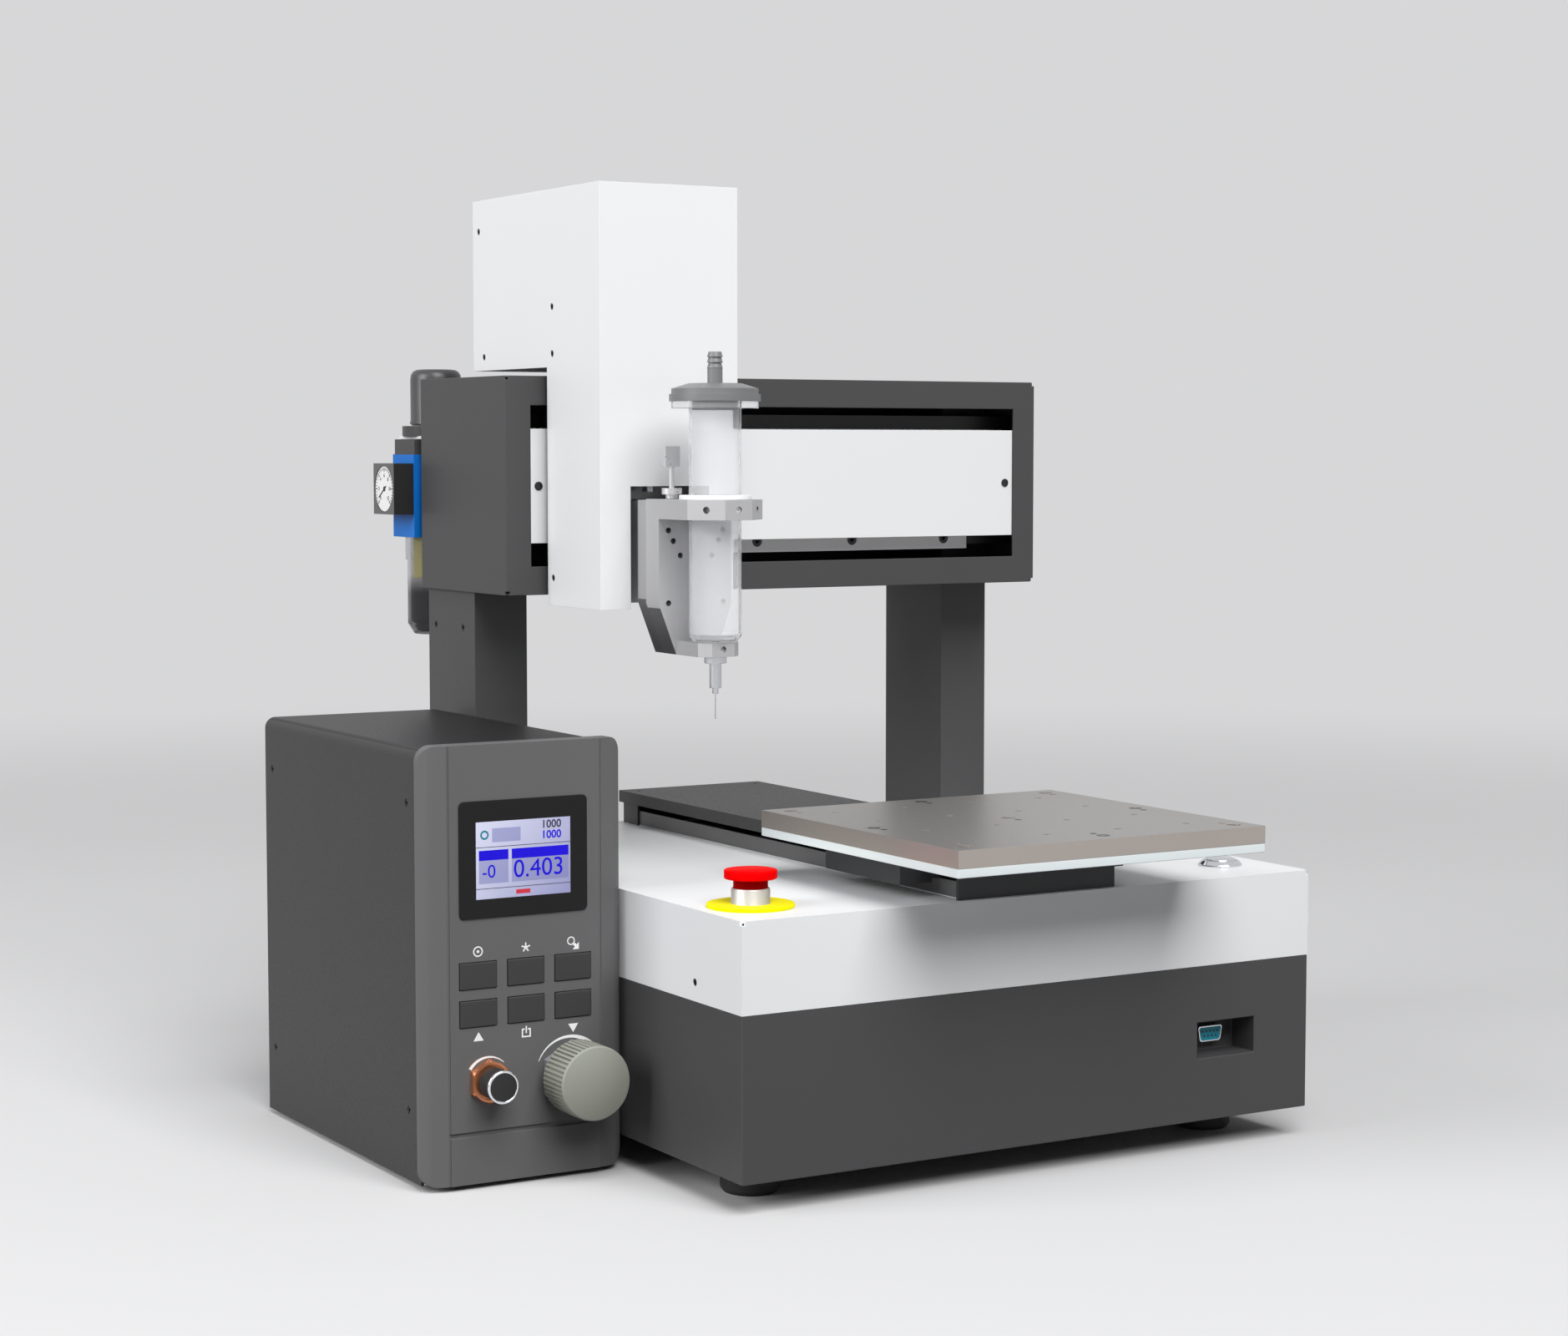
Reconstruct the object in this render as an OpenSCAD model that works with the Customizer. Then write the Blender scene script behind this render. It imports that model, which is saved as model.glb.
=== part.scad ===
// Desktop dispensing robot with its dispensing controller, in millimetres.
// Robot frame: X to the right, Y to the back, Z up, from the front left lower corner of the base.
// in_frame() then moves everything so that the origin is under the middle of the whole object.

/* [Base] */
// Width of the base, left to right
base_w = 390; // [380:1:420]
// Depth of the base, front to back
base_d = 418; // [410:1:440]
// Height of the lower housing
lower_h = 92; // [88:1:104]
// Height of the upper cover
cover_h = 51; // [48:1:60]
// Sheet thickness of the lower housing
housing_t = 2; // [1.5:0.25:3]
// Sheet thickness of the upper cover
cover_t = 1.5; // [1:0.25:2]
// Width of the ledge in the housing that the chassis plate rests on
ledge_w = 14; // [10:1:18]
// Thickness of the chassis plate
chassis_t = 8; // [6:0.5:10]
// Height of the rubber feet
foot_h = 18; // [14:1:22]
// Diameter of the rubber feet
foot_d = 34; // [26:1:40]
// Inset of the feet from the sides
foot_inset_x = 36; // [30:1:50]
// Inset of the feet from the front and back
foot_inset_y = 54; // [40:1:70]

/* [Port pocket] */
// Centre of the pocket from the left side of the base
pocket_x = 328.6; // [318:0.2:340]
// Height of the pocket's centre
pocket_z = 47.8; // [44:0.2:54]
// Width of the pocket
pocket_w = 42.2; // [38:0.2:48]
// Height of the pocket
pocket_h = 21.2; // [18:0.2:26]
// Depth of the pocket
pocket_d = 21; // [18:0.5:26]
// Width of the nine-pin connector's shell
port_w = 17; // [16:0.1:18.6]
// Height of the nine-pin connector's shell
port_h = 8.4; // [7.9:0.1:9]

/* [Operating buttons] */
// Inset of the start button from the right side
button_inset_x = 32.5; // [28:0.5:40]
// Inset of the start button from the front
button_inset_y = 43; // [38:0.5:52]
// Inset of the emergency stop from the left side
stop_x = 31; // [28:0.5:40]
// Inset of the emergency stop from the front
stop_y = 44.5; // [38:0.5:52]
// Diameter of the emergency stop's mushroom
stop_head_d = 29.5; // [28:0.5:36]
// Diameter of the emergency stop's collar
stop_collar_d = 22; // [21:0.25:24]
// Diameter of the emergency stop's neck
stop_neck_d = 19.2; // [16:0.1:19.4]
// Diameter of the ring around the emergency stop
stop_ring_d = 49; // [46:1:56]
// Travel of the emergency stop
stop_travel = 4; // [3:0.5:4.5]
// Diameter of the start button's bezel
start_bezel_d = 26.3; // [25:0.1:29]
// Diameter of the start button
start_button_d = 18.6; // [16:0.2:19.4]

/* [Work table] */
// Width of the table plates
table_w = 207; // [200:1:220]
// Depth of the table plates
table_d = 207; // [200:1:220]
// Thickness of the upper table plate
table_t = 10; // [8:0.5:12]
// Thickness of the lower table plate
table_under_t = 5; // [4:0.5:6]
// How far the table stands out in front of the base at rest
table_overhang = 70; // [60:1:76]
// Gap between the dust cover and the table
table_gap = 3.3; // [2:0.1:5]
// Distance between the tapped holes of the table
fixture_pitch = 48; // [44:0.5:52]
// Diameter of the tapped holes of the table
fixture_d = 4.2; // [3.4:0.1:6]
// Diameter of the locating holes in the middle and corners of the table
locating_d = 8; // [6:0.5:9]
// Distance of the corner holes from the edges of the table
locating_inset = 12.5; // [10:0.5:16]

/* [Y axis] */
// Width of the dust cover
dust_w = 108; // [104:1:112]
// Height of the dust cover's side lip
dust_lip = 7.7; // [6:0.1:10]
// Sheet thickness of the dust cover
dust_t = 2; // [1.5:0.25:2.5]
// Inset of the dust cover from the front and back of the base
dust_inset = 4; // [3:0.5:6]
// Length of the table's carriage
saddle_len = 80; // [74:1:90]
// Distance of the carriage from the front of the base at rest
saddle_y = 27; // [24:0.5:32]
// Width of the carriage's side blocks
side_block_w = 22; // [18:0.5:24]
// Gap between the carriage's side blocks and the base cover
saddle_rise = 7.5; // [5:0.25:9]
// Height of the rims along the slot in the base cover
slot_rim_h = 9.6; // [8:0.2:11]
// Thickness of the carriage's cross plate
saddle_t = 3.2; // [3:0.1:5]
// Half the distance between the Y rails
y_rail_half = 32; // [30:0.5:34]

/* [Gantry] */
// Height of the free passage between the base and the gantry
portal_h = 161.5; // [150:0.5:175]
// How far the gantry's cover stands out beyond the base on each side
gantry_proud = 1; // [0.5:0.1:3]
// Height of the gantry's cover
gantry_h = 134; // [132:0.5:140]
// Sheet thickness of the gantry's cover
gantry_t = 1.5; // [1:0.25:2]
// Width of a column
column_w = 36; // [32:0.5:38]
// Depth of a column
column_d = 70.5; // [66:0.5:72]
// Wall thickness of a column
column_t = 3; // [2.5:0.25:4]
// Inset of the columns from the sides of the base
column_inset = 2; // [2:0.1:3]
// Distance of the columns from the back of the base
column_back = 6.8; // [5:0.1:10]
// Width of the frame left around the window at the sides
window_side = 17; // [15:0.5:20]
// Height of the frame left below the window
window_low = 17.5; // [15:0.5:19]
// Height of the frame left above the window
window_high = 18; // [16:0.5:20]
// Height of the slots above and below the white panel
slot_h = 14.2; // [13:0.1:15]
// Thickness of the white panel
panel_t = 1.5; // [1:0.25:2]
// Depth of the gantry's beam
beam_d = 28.7; // [26:0.1:32]
// Wall thickness of the gantry's beam
beam_t = 6; // [4:0.5:8]

/* [Head] */
// Width of the head
head_w = 93.5; // [92:0.5:98]
// Middle of the head from the left side of the base at rest
head_x = 72; // [68:0.5:76]
// Depth of the head's lower part
head_d = 70.8; // [68:0.2:76]
// Depth of the head's upper part behind the lower part
overhang_d = 106.4; // [100:0.2:112]
// Height of the head above the gantry
head_rise = 112.5; // [108:0.5:120]
// Gap between the head's upper part and the gantry
overhang_gap = 5; // [3:0.5:8]
// How far the head reaches below the gantry
head_drop = 6; // [3:0.5:10]
// Sheet thickness of the head's cover
head_t = 1.5; // [1:0.25:2]
// Width of the opening in the front of the head
slide_opening_w = 53; // [52:0.5:58]
// Height of the opening in the front of the head
slide_opening_h = 73.2; // [72:0.2:80]

/* [Syringe bracket] */
// Width of the bracket
bracket_w = 50; // [46:0.5:51]
// Height of the bracket
bracket_h = 91.6; // [88:0.2:96]
// Thickness of the bracket's back plate
bracket_t = 15.8; // [12:0.2:18]
// Thickness of the upper clamp arm
clamp_t = 11.6; // [10:0.2:14]
// Thickness of the lower holder
holder_t = 8.2; // [6:0.2:10]
// Distance of the syringe's axis from the bracket's back plate
syringe_reach = 23.2; // [22.2:0.1:26]
// Height of the sloped corners at the foot of the bracket
slope_h = 30; // [26:0.5:34]
// Width of the sloped corners at the foot of the bracket
slope_w = 11.5; // [9:0.25:12]

/* [Syringe] */
// Outer diameter of the barrel
barrel_d = 30.7; // [29:0.1:31.5]
// Wall thickness of the barrel
barrel_t = 1.5; // [1:0.1:2]
// Length of the barrel with its flange
barrel_len = 140.5; // [130:0.5:150]
// Diameter of the barrel's flange
barrel_flange_d = 51; // [48:0.5:54]
// Thickness of the barrel's flange
barrel_flange_t = 4.2; // [3:0.1:5]
// Diameter of the cap
cap_d = 53.6; // [51:0.2:56]
// Diameter of the hose barb
barb_d = 9.3; // [8:0.1:10]
// Length of the needle below its hub
needle_len = 15; // [8:0.5:25]
// Outer diameter of the needle
needle_d = 0.8; // [0.5:0.05:1.6]

/* [Filter regulator] */
// Width of the regulator's body, left to right
frl_w = 47; // [44:0.5:52]
// Depth of the regulator's body, front to back
frl_d = 34; // [30:0.5:38]
// Height of the regulator's body
frl_h = 53.8; // [50:0.2:58]
// Middle of the regulator from the left side of the base
frl_x = 20; // [18:0.5:26]
// Height of the regulator's body above the bottom of the gantry
frl_rise = 32.2; // [30:0.2:36]
// Diameter of the regulator's knob
frl_knob_d = 34; // [30:0.5:36]
// Height of the regulator's knob
frl_knob_h = 34.3; // [30:0.1:38]
// Diameter of the ring nut under the knob
frl_ring_d = 44; // [40:0.5:45]
// Diameter of the bowl
bowl_d = 39; // [34:0.5:40]
// Height of the bowl
bowl_h = 63.5; // [58:0.5:70]
// Side of the square gauge
gauge_side = 33; // [30:0.5:34]
// Thickness of the gauge
gauge_t = 14; // [12:0.5:16]

/* [Controller] */
// Width of the controller
ctl_w = 124.5; // [120:0.5:130]
// Depth of the controller
ctl_d = 244.7; // [235:0.1:260]
// Height of the controller without its feet
ctl_h = 246.3; // [240:0.1:255]
// Height of the controller's feet
ctl_foot_h = 3; // [2:0.5:5]
// Gap between the controller and the base
ctl_gap = 1.5; // [1:0.5:12]
// Distance of the controller's front from the front of the base
ctl_y = 132.3; // [110:0.1:150]
// Depth of the front panel
face_d = 11; // [10:0.5:14]
// Wall thickness of the front panel
face_t = 4; // [3:0.25:5]
// Width of the bands and rounded edges beside the flat of the front panel
bevel_w = 15.4; // [14:0.2:17]
// Corner radius of the front panel and the cover
ctl_r = 9; // [6:0.5:12]
// Sheet thickness of the controller's cover
ctl_t = 1.5; // [1:0.25:2]
// Width of the display window
display_w = 79; // [74:0.5:82]
// Height of the display window
display_h = 65.6; // [60:0.2:68]
// Height of the display's middle in the controller, as a share of the controller's height
display_share = 0.739; // [0.73:0.001:0.76]
// Width of a key
key_w = 22.4; // [20:0.2:24]
// Height of a key
key_h = 14.8; // [13:0.1:16]
// Distance between the key columns
key_pitch_x = 29.3; // [28:0.1:30]
// Distance between the key rows
key_pitch_z = 21.3; // [20.4:0.1:22]
// Height of the keys' middle in the controller, as a share of the controller's height
key_share = 0.433; // [0.428:0.001:0.44]
// Height of the small knob in the controller, as a share of the controller's height
knob_share = 0.2335; // [0.225:0.0005:0.24]
// Height of the large knob in the controller, as a share of the controller's height
press_share = 0.227; // [0.22:0.0005:0.235]
// Distance of the small knob from the middle of the front panel
timer_knob_x = -23.4; // [-26:0.2:-21]
// Diameter of the small knob
timer_knob_d = 19.2; // [16:0.2:21]
// Distance of the large knob from the middle of the front panel
press_knob_x = 28.2; // [27:0.2:29]
// Diameter of the large knob
press_knob_d = 42.5; // [38:0.5:46]
// Length of the large knob
press_knob_len = 25; // [20:0.5:28]

/* [Hidden] */
$fn = 48;

// Clearances: sliding neighbours, shafts in their bores, and the overlap that cuts reach past a face
gap = 0.3;
run_fit = 0.05;
past = 1;

// Colours
dark_grey = [0.33, 0.33, 0.33];
white = [0.93, 0.93, 0.93];
satin = [0.72, 0.71, 0.70];
steel = [0.62, 0.63, 0.65];
black = [0.08, 0.08, 0.08];

// Standard guide: rail, and block from the rail's seat to the block's top
rail_w = 12;
rail_h = 8;
block_w = 27;
block_top = 13;
block_lift = 3;

// Standard stepper, belt and twenty-tooth pulley
motor_side = 42;
motor_len = 40;
motor_boss_d = 22;
motor_boss_h = 2;
motor_bore_len = 12;
shaft_d = 5;
drum_d = 12.2;
flange_d = 16;
flange_t = 1.5;
pulley_h = 10;
pulley_gap = 1;
belt_w = 6;
belt_t = 1.4;
belt_r = drum_d / 2 + gap;
belt_mid_r = belt_r + belt_t / 2;

// Heights of the base
base_top = lower_h + cover_h;
chassis_top = lower_h + chassis_t;
mid_x = base_w / 2;

// Y axis
saddle_low = base_top + slot_rim_h + 2 * gap;
saddle_top = saddle_low + saddle_t;
side_block_low = base_top + saddle_rise;
dust_low = saddle_top + 2 * gap;
dust_top = dust_low + dust_lip;
table_low = dust_top + table_gap;
table_mid = table_low + table_under_t;
table_top = table_mid + table_t;
dust_x = [mid_x - dust_w / 2, mid_x + dust_w / 2];
dust_y = [dust_inset, base_d - dust_inset];
saddle_yy = [saddle_y, saddle_y + saddle_len];
side_gap = 2;
saddle_x = [dust_x[0] - side_gap - side_block_w, dust_x[1] + side_gap + side_block_w];
y_slot_half = y_rail_half + block_w / 2 + 2.5;
y_slot_margin = 10;
y_slot_x = [mid_x - y_slot_half, mid_x + y_slot_half];
slot_rim_t = 2;
dust_leg = 10;
dust_leg_inset = 3.5;
y_idler_y = 18;
motor_clear = 1;
y_drive_y = base_d - housing_t - ledge_w - motor_side / 2 - motor_clear;
rail_inset = 10;

// Columns and gantry
column_y = [base_d - column_back - column_d, base_d - column_back];
left_column_x = [column_inset, column_inset + column_w];
right_column_x = [base_w - column_inset - column_w, base_w - column_inset];
gantry_w = base_w + 2 * gantry_proud;
gantry_low = base_top + portal_h;
gantry_top = gantry_low + gantry_h;
beam_y = [column_y[0] - beam_d, column_y[0]];
carriage_t = 6;
panel_gap = 2.5;
carriage_y = [beam_y[0] - block_top - carriage_t, beam_y[0] - block_top];
panel_y = [carriage_y[0] - panel_gap - panel_t, carriage_y[0] - panel_gap];
gantry_y = [panel_y[0] - gantry_t, column_y[1] + gantry_t + 2.3];
gantry_x = [mid_x - gantry_w / 2, mid_x + gantry_w / 2];
column_top = gantry_top - gantry_t - 7;
window_x = [gantry_x[0] + window_side, gantry_x[1] - window_side];
window_z = [gantry_low + window_low, gantry_top - window_high];
panel_z = [window_z[0] + slot_h, window_z[1] - slot_h];
panel_inset = 5;
lip_clear = 1.5;
low_lip_z = [window_z[0] + lip_clear, panel_z[0] - lip_clear];
high_lip_z = [panel_z[1] + lip_clear, window_z[1] - lip_clear];
belt_axis_shift = 5.75;
belt_z = (window_z[0] + window_z[1]) / 2 + belt_axis_shift;
x_rail_half = 24;
x_rail_z = [belt_z - x_rail_half, belt_z + x_rail_half];
beam_z = [x_rail_z[0] - 23, x_rail_z[1] + 15];
strip_x = [gantry_x[0] + 44, gantry_x[1] - 44];
strip_z = [window_z[0] + 5.4, x_rail_z[0] - block_w / 2 - lip_clear];
strip_d = 9;
strip_pitch = 72;
x_idler_x = column_inset + 28;
x_drive_x = right_column_x[0] - motor_side / 2 - 3;

// Head, from the gantry forwards
head_gap = 4;
head_y = [gantry_y[0] - head_gap - head_d, gantry_y[0] - head_gap];
overhang_y = head_y[1] + overhang_d;
head_xx = [head_x - head_w / 2, head_x + head_w / 2];
head_low = gantry_low - head_drop;
head_top = gantry_top + head_rise;
overhang_low = gantry_top + overhang_gap;
frame_t = 8;
frame_back = head_y[1] - 2;
frame_front = frame_back - frame_t;
frame_x = [head_xx[0] + head_t + gap, head_xx[1] - head_t - gap];
shelf_drop = 46;
shelf_t = 5;
shelf_z = [head_top - shelf_drop - shelf_t, head_top - shelf_drop];
slide_back = frame_front - block_top;
slide_t = 8;
slide_front = slide_back - slide_t;
screw_d = 8;
screw_y = slide_front - 12.5;
z_motor_y = head_y[1] + 46.5;
slide_foot = 1.6;
slide_len = 140;
slide_z = [head_low + slide_foot, head_low + slide_foot + slide_len];
nut_h = 16;
screw_tail = 56;
screw_low = slide_z[1] - nut_h - screw_tail;
x_plate_w = 80;
x_plate_x = [head_x - x_plate_w / 2, head_x + x_plate_w / 2];
opening_x = [head_x - slide_opening_w / 2, head_x + slide_opening_w / 2];
opening_top = head_low + slide_opening_h;

// Bracket and syringe
adapter_gap = 6;
adapter_t = 10.6;
adapter_y = [head_y[0] - adapter_gap - adapter_t, head_y[0] - adapter_gap];
bracket_y = [adapter_y[0] - bracket_t, adapter_y[0]];
syringe_y = bracket_y[0] - syringe_reach;
bracket_rise = 66;
bracket_top = head_low + bracket_rise;
bracket_low = bracket_top - bracket_h;
bracket_x = [head_x - bracket_w / 2, head_x + bracket_w / 2];
holder_top = bracket_low + holder_t;
clamp_front = syringe_y - 28;
clamp_chamfer = 16;
ring_bore_d = barrel_d + 2 * gap;
ring_sleeve_d = ring_bore_d + 4.5;
ring_flange_d = ring_sleeve_d + 6.5;
ring_flange_t = 2.6;
luer_d = 8;
hub_flange_d = 13.2;
hub_flange_t = 4.1;
barrel_top = holder_top + barrel_len;
thumb_x = head_x - 12;
thumb_y = bracket_y[0] + bracket_t / 2;
thumb_stem_d = 3.1;

// Filter regulator
frl_y = gantry_y[1] + frl_ring_d / 2 + 1;
frl_low = gantry_low + frl_rise;
frl_top = frl_low + frl_h;
frl_neck_h = 9.7;
frl_plate_t = 2;
frl_plate_z = [frl_top + frl_neck_h, frl_top + frl_neck_h + frl_plate_t];
frl_ring_h = 6.6;
frl_ring_top = frl_plate_z[1] + frl_ring_h;
frl_thread_d = 30;
frl_stem_d = 8;
frl_knob_z = [frl_ring_top + 1.1, frl_ring_top + 1.1 + frl_knob_h];
frl_xx = [frl_x - frl_w / 2, frl_x + frl_w / 2];
frl_yy = [frl_y - frl_d / 2, frl_y + frl_d / 2];

// Controller, heights from the floor
ctl_x = [-ctl_gap - ctl_w, -ctl_gap];
ctl_mid = (ctl_x[0] + ctl_x[1]) / 2;
ctl_low = ctl_foot_h - foot_h;
ctl_top = ctl_low + ctl_h;
ctl_yy = [ctl_y, ctl_y + ctl_d];
face_y = [ctl_y, ctl_y + face_d];
face_back = ctl_y + face_t;
flat_half = ctl_w / 2 - bevel_w;
knob_floor = ctl_low + knob_share * ctl_h;
press_floor = ctl_low + press_share * ctl_h;
key_floor = ctl_low + key_share * ctl_h;
display_floor = ctl_low + display_share * ctl_h;
key_proud = 0.8;
key_gap = 0.3;
key_lip = 1.2;
key_lip_t = 1.5;
bushing_d = 9.8;
bushing_proud = 5;
timer_shaft_d = 6;
neck_d = 24;
neck_proud = 6;
press_shaft_d = 8;

// The whole object's box at rest, for the origin
reach_x = [ctl_x[0], gantry_x[1]];
reach_y = [-table_overhang, frl_y + frl_ring_d / 2];
origin = [(reach_x[0] + reach_x[1]) / 2, (reach_y[0] + reach_y[1]) / 2, -foot_h];

// Helpers
module in_frame() translate(-origin) children();

module slab(x, y, z) translate([x[0], y[0], z[0]]) cube([x[1] - x[0], y[1] - y[0], z[1] - z[0]]);

module rod_z(d, z, x, y) translate([x, y, z[0]]) cylinder(d = d, h = z[1] - z[0]);

module rod_y(d, y, x, z) translate([x, y[0], z]) rotate([-90, 0, 0]) cylinder(d = d, h = y[1] - y[0]);

module rod_x(d, x, y, z) translate([x[0], y, z]) rotate([0, 90, 0]) cylinder(d = d, h = x[1] - x[0]);

function grow(range, by) = [range[0] - by, range[1] + by];

// A rectangle with round corners, centred
module round_rect(w, h, r) {
    square([w - 2 * r, h], center = true);
    square([w, h - 2 * r], center = true);
    for (sx = [-1, 1], sy = [-1, 1]) translate([sx * (w / 2 - r), sy * (h / 2 - r)]) circle(r);
}

// A guide rail along X, seated on the plane z = 0
module guide_rail(len) translate([0, -rail_w / 2, 0]) cube([len, rail_w, rail_h]);

// A guide block along X around such a rail
module guide_block(len) difference() {
    translate([0, -block_w / 2, block_lift]) cube([len, block_w, block_top - block_lift]);
    translate([-past, -rail_w / 2 - gap, 0]) cube([len + 2 * past, rail_w + 2 * gap, rail_h + gap]);
}

// A stepper below the plane z = 0 with its shaft's bore along Z
module stepper() difference() {
    union() {
        translate([0, 0, -motor_len]) linear_extrude(motor_len) round_rect(motor_side, motor_side, 4);
        cylinder(d = motor_boss_d, h = motor_boss_h);
    }
    translate([0, 0, -motor_bore_len])
        cylinder(d = shaft_d + 2 * run_fit, h = motor_bore_len + motor_boss_h + past);
}

// A flanged belt pulley standing on z = 0
module pulley() {
    cylinder(d = drum_d, h = pulley_h);
    cylinder(d = flange_d, h = flange_t);
    translate([0, 0, pulley_h - flange_t]) cylinder(d = flange_d, h = flange_t);
}

// A driven pulley with its motor shaft reaching down through a plate of the given thickness
module drive_pulley(plate) {
    pulley();
    shaft_len = pulley_gap + plate + motor_bore_len - past;
    translate([0, 0, -shaft_len]) cylinder(d = shaft_d, h = shaft_len + past);
}

// A loose pulley that turns on a pin
module idler_pulley() difference() {
    pulley();
    translate([0, 0, -past]) cylinder(d = shaft_d + 2 * run_fit, h = pulley_h + 2 * past);
}

// The pin of a loose pulley, with the shoulder that it stands on
module idler_pin() {
    cylinder(d = shaft_d + 3, h = pulley_gap - gap);
    cylinder(d = shaft_d, h = pulley_gap + pulley_h + past / 2);
}

module stadium(span, r) {
    circle(r);
    translate([span, 0]) circle(r);
    translate([0, -r]) square([span, 2 * r]);
}

// A belt around two pulleys, the second one further along X
module belt_loop(span) translate([0, 0, (pulley_h - belt_w) / 2]) linear_extrude(belt_w) difference() {
    stadium(span, belt_r + belt_t);
    stadium(span, belt_r);
}

// Places on the two axes: pulleys stand on the chassis for Y and on the beam's front for X
module on_chassis(y) translate([mid_x, y, chassis_top + pulley_gap]) children();

module on_beam(x) translate([x, beam_y[0] - pulley_gap, belt_z]) rotate([90, 0, 0]) children();

// Base
module foot_places()
    for (x = [foot_inset_x, base_w - foot_inset_x], y = [foot_inset_y, base_d - foot_inset_y])
    translate([x, y, -foot_h]) children();

module pocket(extra, depth) slab([pocket_x - pocket_w / 2 - extra, pocket_x + pocket_w / 2 + extra], depth,
                                 [pocket_z - pocket_h / 2 - extra, pocket_z + pocket_h / 2 + extra]);

inlet_x = [48, 76];
inlet_z = [26, 46];

module lower_housing() color(dark_grey) in_frame() difference() {
    union() {
        difference() {
            slab([0, base_w], [0, base_d], [0, lower_h]);
            slab([housing_t, base_w - housing_t], [housing_t, base_d - housing_t],
                 [housing_t, lower_h - housing_t]);
            slab([ledge_w, base_w - ledge_w], [ledge_w, base_d - ledge_w], [lower_h / 2, lower_h + past]);
        }
        pocket(housing_t, [0, pocket_d + housing_t]);
    }
    pocket(0, [-past, pocket_d]);
    port_shell(gap, [pocket_d - past, pocket_d + housing_t + past]);
    slab(grow(inlet_x, gap), [base_d - housing_t - past, base_d + past], grow(inlet_z, gap));
}

corner_notch = 2.4;
side_screw_z = lower_h + 10.5;
side_screw_inset = 52;
side_screw_y = [side_screw_inset, base_d - side_screw_inset];
side_screw_d = 4.4;

module cover_shell() difference() {
    slab([0, base_w], [0, base_d], [lower_h, base_top]);
    slab([cover_t, base_w - cover_t], [cover_t, base_d - cover_t], [lower_h - past, base_top - cover_t]);
    for (x = [left_column_x, right_column_x])
        slab(grow(x, gap), grow(column_y, gap), [base_top - cover_t - past, base_top + past]);
    slab(y_slot_x, grow(dust_y, -y_slot_margin),
         [base_top - cover_t - past, base_top + past]);
    rod_z(stop_stem_d + 2 * gap, [base_top - cover_t - past, base_top + past], stop_x, stop_y);
    rod_z(start_stem_d + 2 * gap, [base_top - cover_t - past, base_top + past], start_x, button_inset_y);
    for (x = [0, base_w], y = [0, base_d])
        slab(grow([x, x], corner_notch), grow([y, y], corner_notch),
             [base_top - corner_notch, base_top + past]);
    for (y = side_screw_y) rod_x(side_screw_d, [-past, base_w + past], y, side_screw_z);
}

// The base cover, with a rim along each side of the carriage's slot
module top_cover() color(white) in_frame() {
    cover_shell();
    for (x = [[y_slot_x[0] - slot_rim_t, y_slot_x[0]], [y_slot_x[1], y_slot_x[1] + slot_rim_t]])
        slab(x, [dust_y[0] + dust_t + gap, dust_y[1] - dust_leg - gap],
             [base_top - cover_t, base_top + slot_rim_h]);
}

ctl_foot_d = 12;
ctl_foot_inset = 16;

module rubber_feet() color(black) in_frame() {
    foot_places() {
        cylinder(d1 = foot_d - 4, d2 = foot_d, h = 3);
        translate([0, 0, 3]) cylinder(d = foot_d, h = foot_h - 3);
    }
    for (x = grow(ctl_x, -ctl_foot_inset), y = [face_y[1] + ctl_foot_inset, ctl_yy[1] - ctl_foot_inset])
        rod_z(ctl_foot_d, [-foot_h, ctl_low], x, y);
}

chassis_inset = cover_t + 1;

module chassis_plate() color(satin) in_frame() {
    difference() {
        slab([chassis_inset, base_w - chassis_inset], [chassis_inset, base_d - chassis_inset],
             [lower_h, chassis_top]);
        rod_z(motor_boss_d + 2 * gap, [lower_h - past, chassis_top + past], mid_x, y_drive_y);
    }
    on_chassis(y_idler_y) translate([0, 0, -pulley_gap]) idler_pin();
}

column_screw_y = [column_y[0] + 17.7, column_y[1] - 11.2];
column_screw_z = gantry_low - 23;

// One column from its outer face; side is 1 when the outer face is on the left, -1 when it is on the right
module column(outer, side) difference() {
    x = side > 0 ? [outer, outer + column_w] : [outer - column_w, outer];
    slab(x, column_y, [chassis_top, column_top]);
    slab(grow(x, -column_t), grow(column_y, -column_t), [chassis_top - past, column_top + past]);
    for (y = column_screw_y)
        rod_x(side_screw_d, grow([outer, outer], column_t + past), y, column_screw_z);
}

module columns() color(dark_grey) in_frame() {
    column(left_column_x[0], 1);
    column(right_column_x[1], -1);
}

supply_size = [100, 150, 38];
board_size = [130, 120, 1.6];
board_lift = 8;
board_post_d = 6;
supply_side = 38;
supply_back = 66;
board_side = 28;
board_back = 116;
inlet_len = 24;
inlet_depth = 14;
inlet_wall = 3;
inlet_proud = 1;
port_tail = 8;
supply_x = housing_t + supply_side;
supply_y = base_d - housing_t - supply_back - supply_size[1];
board_x = base_w - housing_t - board_side - board_size[0];
board_y = base_d - housing_t - board_back - board_size[1];
port_slope = 1.2;
port_face = pocket_d - 6;

// The connector's tapered outline, wider at the top
module port_shell(extra, depth) translate([pocket_x, depth[1], pocket_z]) rotate([90, 0, 0])
    linear_extrude(depth[1] - depth[0]) polygon([
        [-port_w / 2 - extra, port_h / 2 + extra], [port_w / 2 + extra, port_h / 2 + extra],
        [port_w / 2 - port_slope + extra, -port_h / 2 - extra],
        [-port_w / 2 + port_slope - extra, -port_h / 2 - extra]]);

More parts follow.
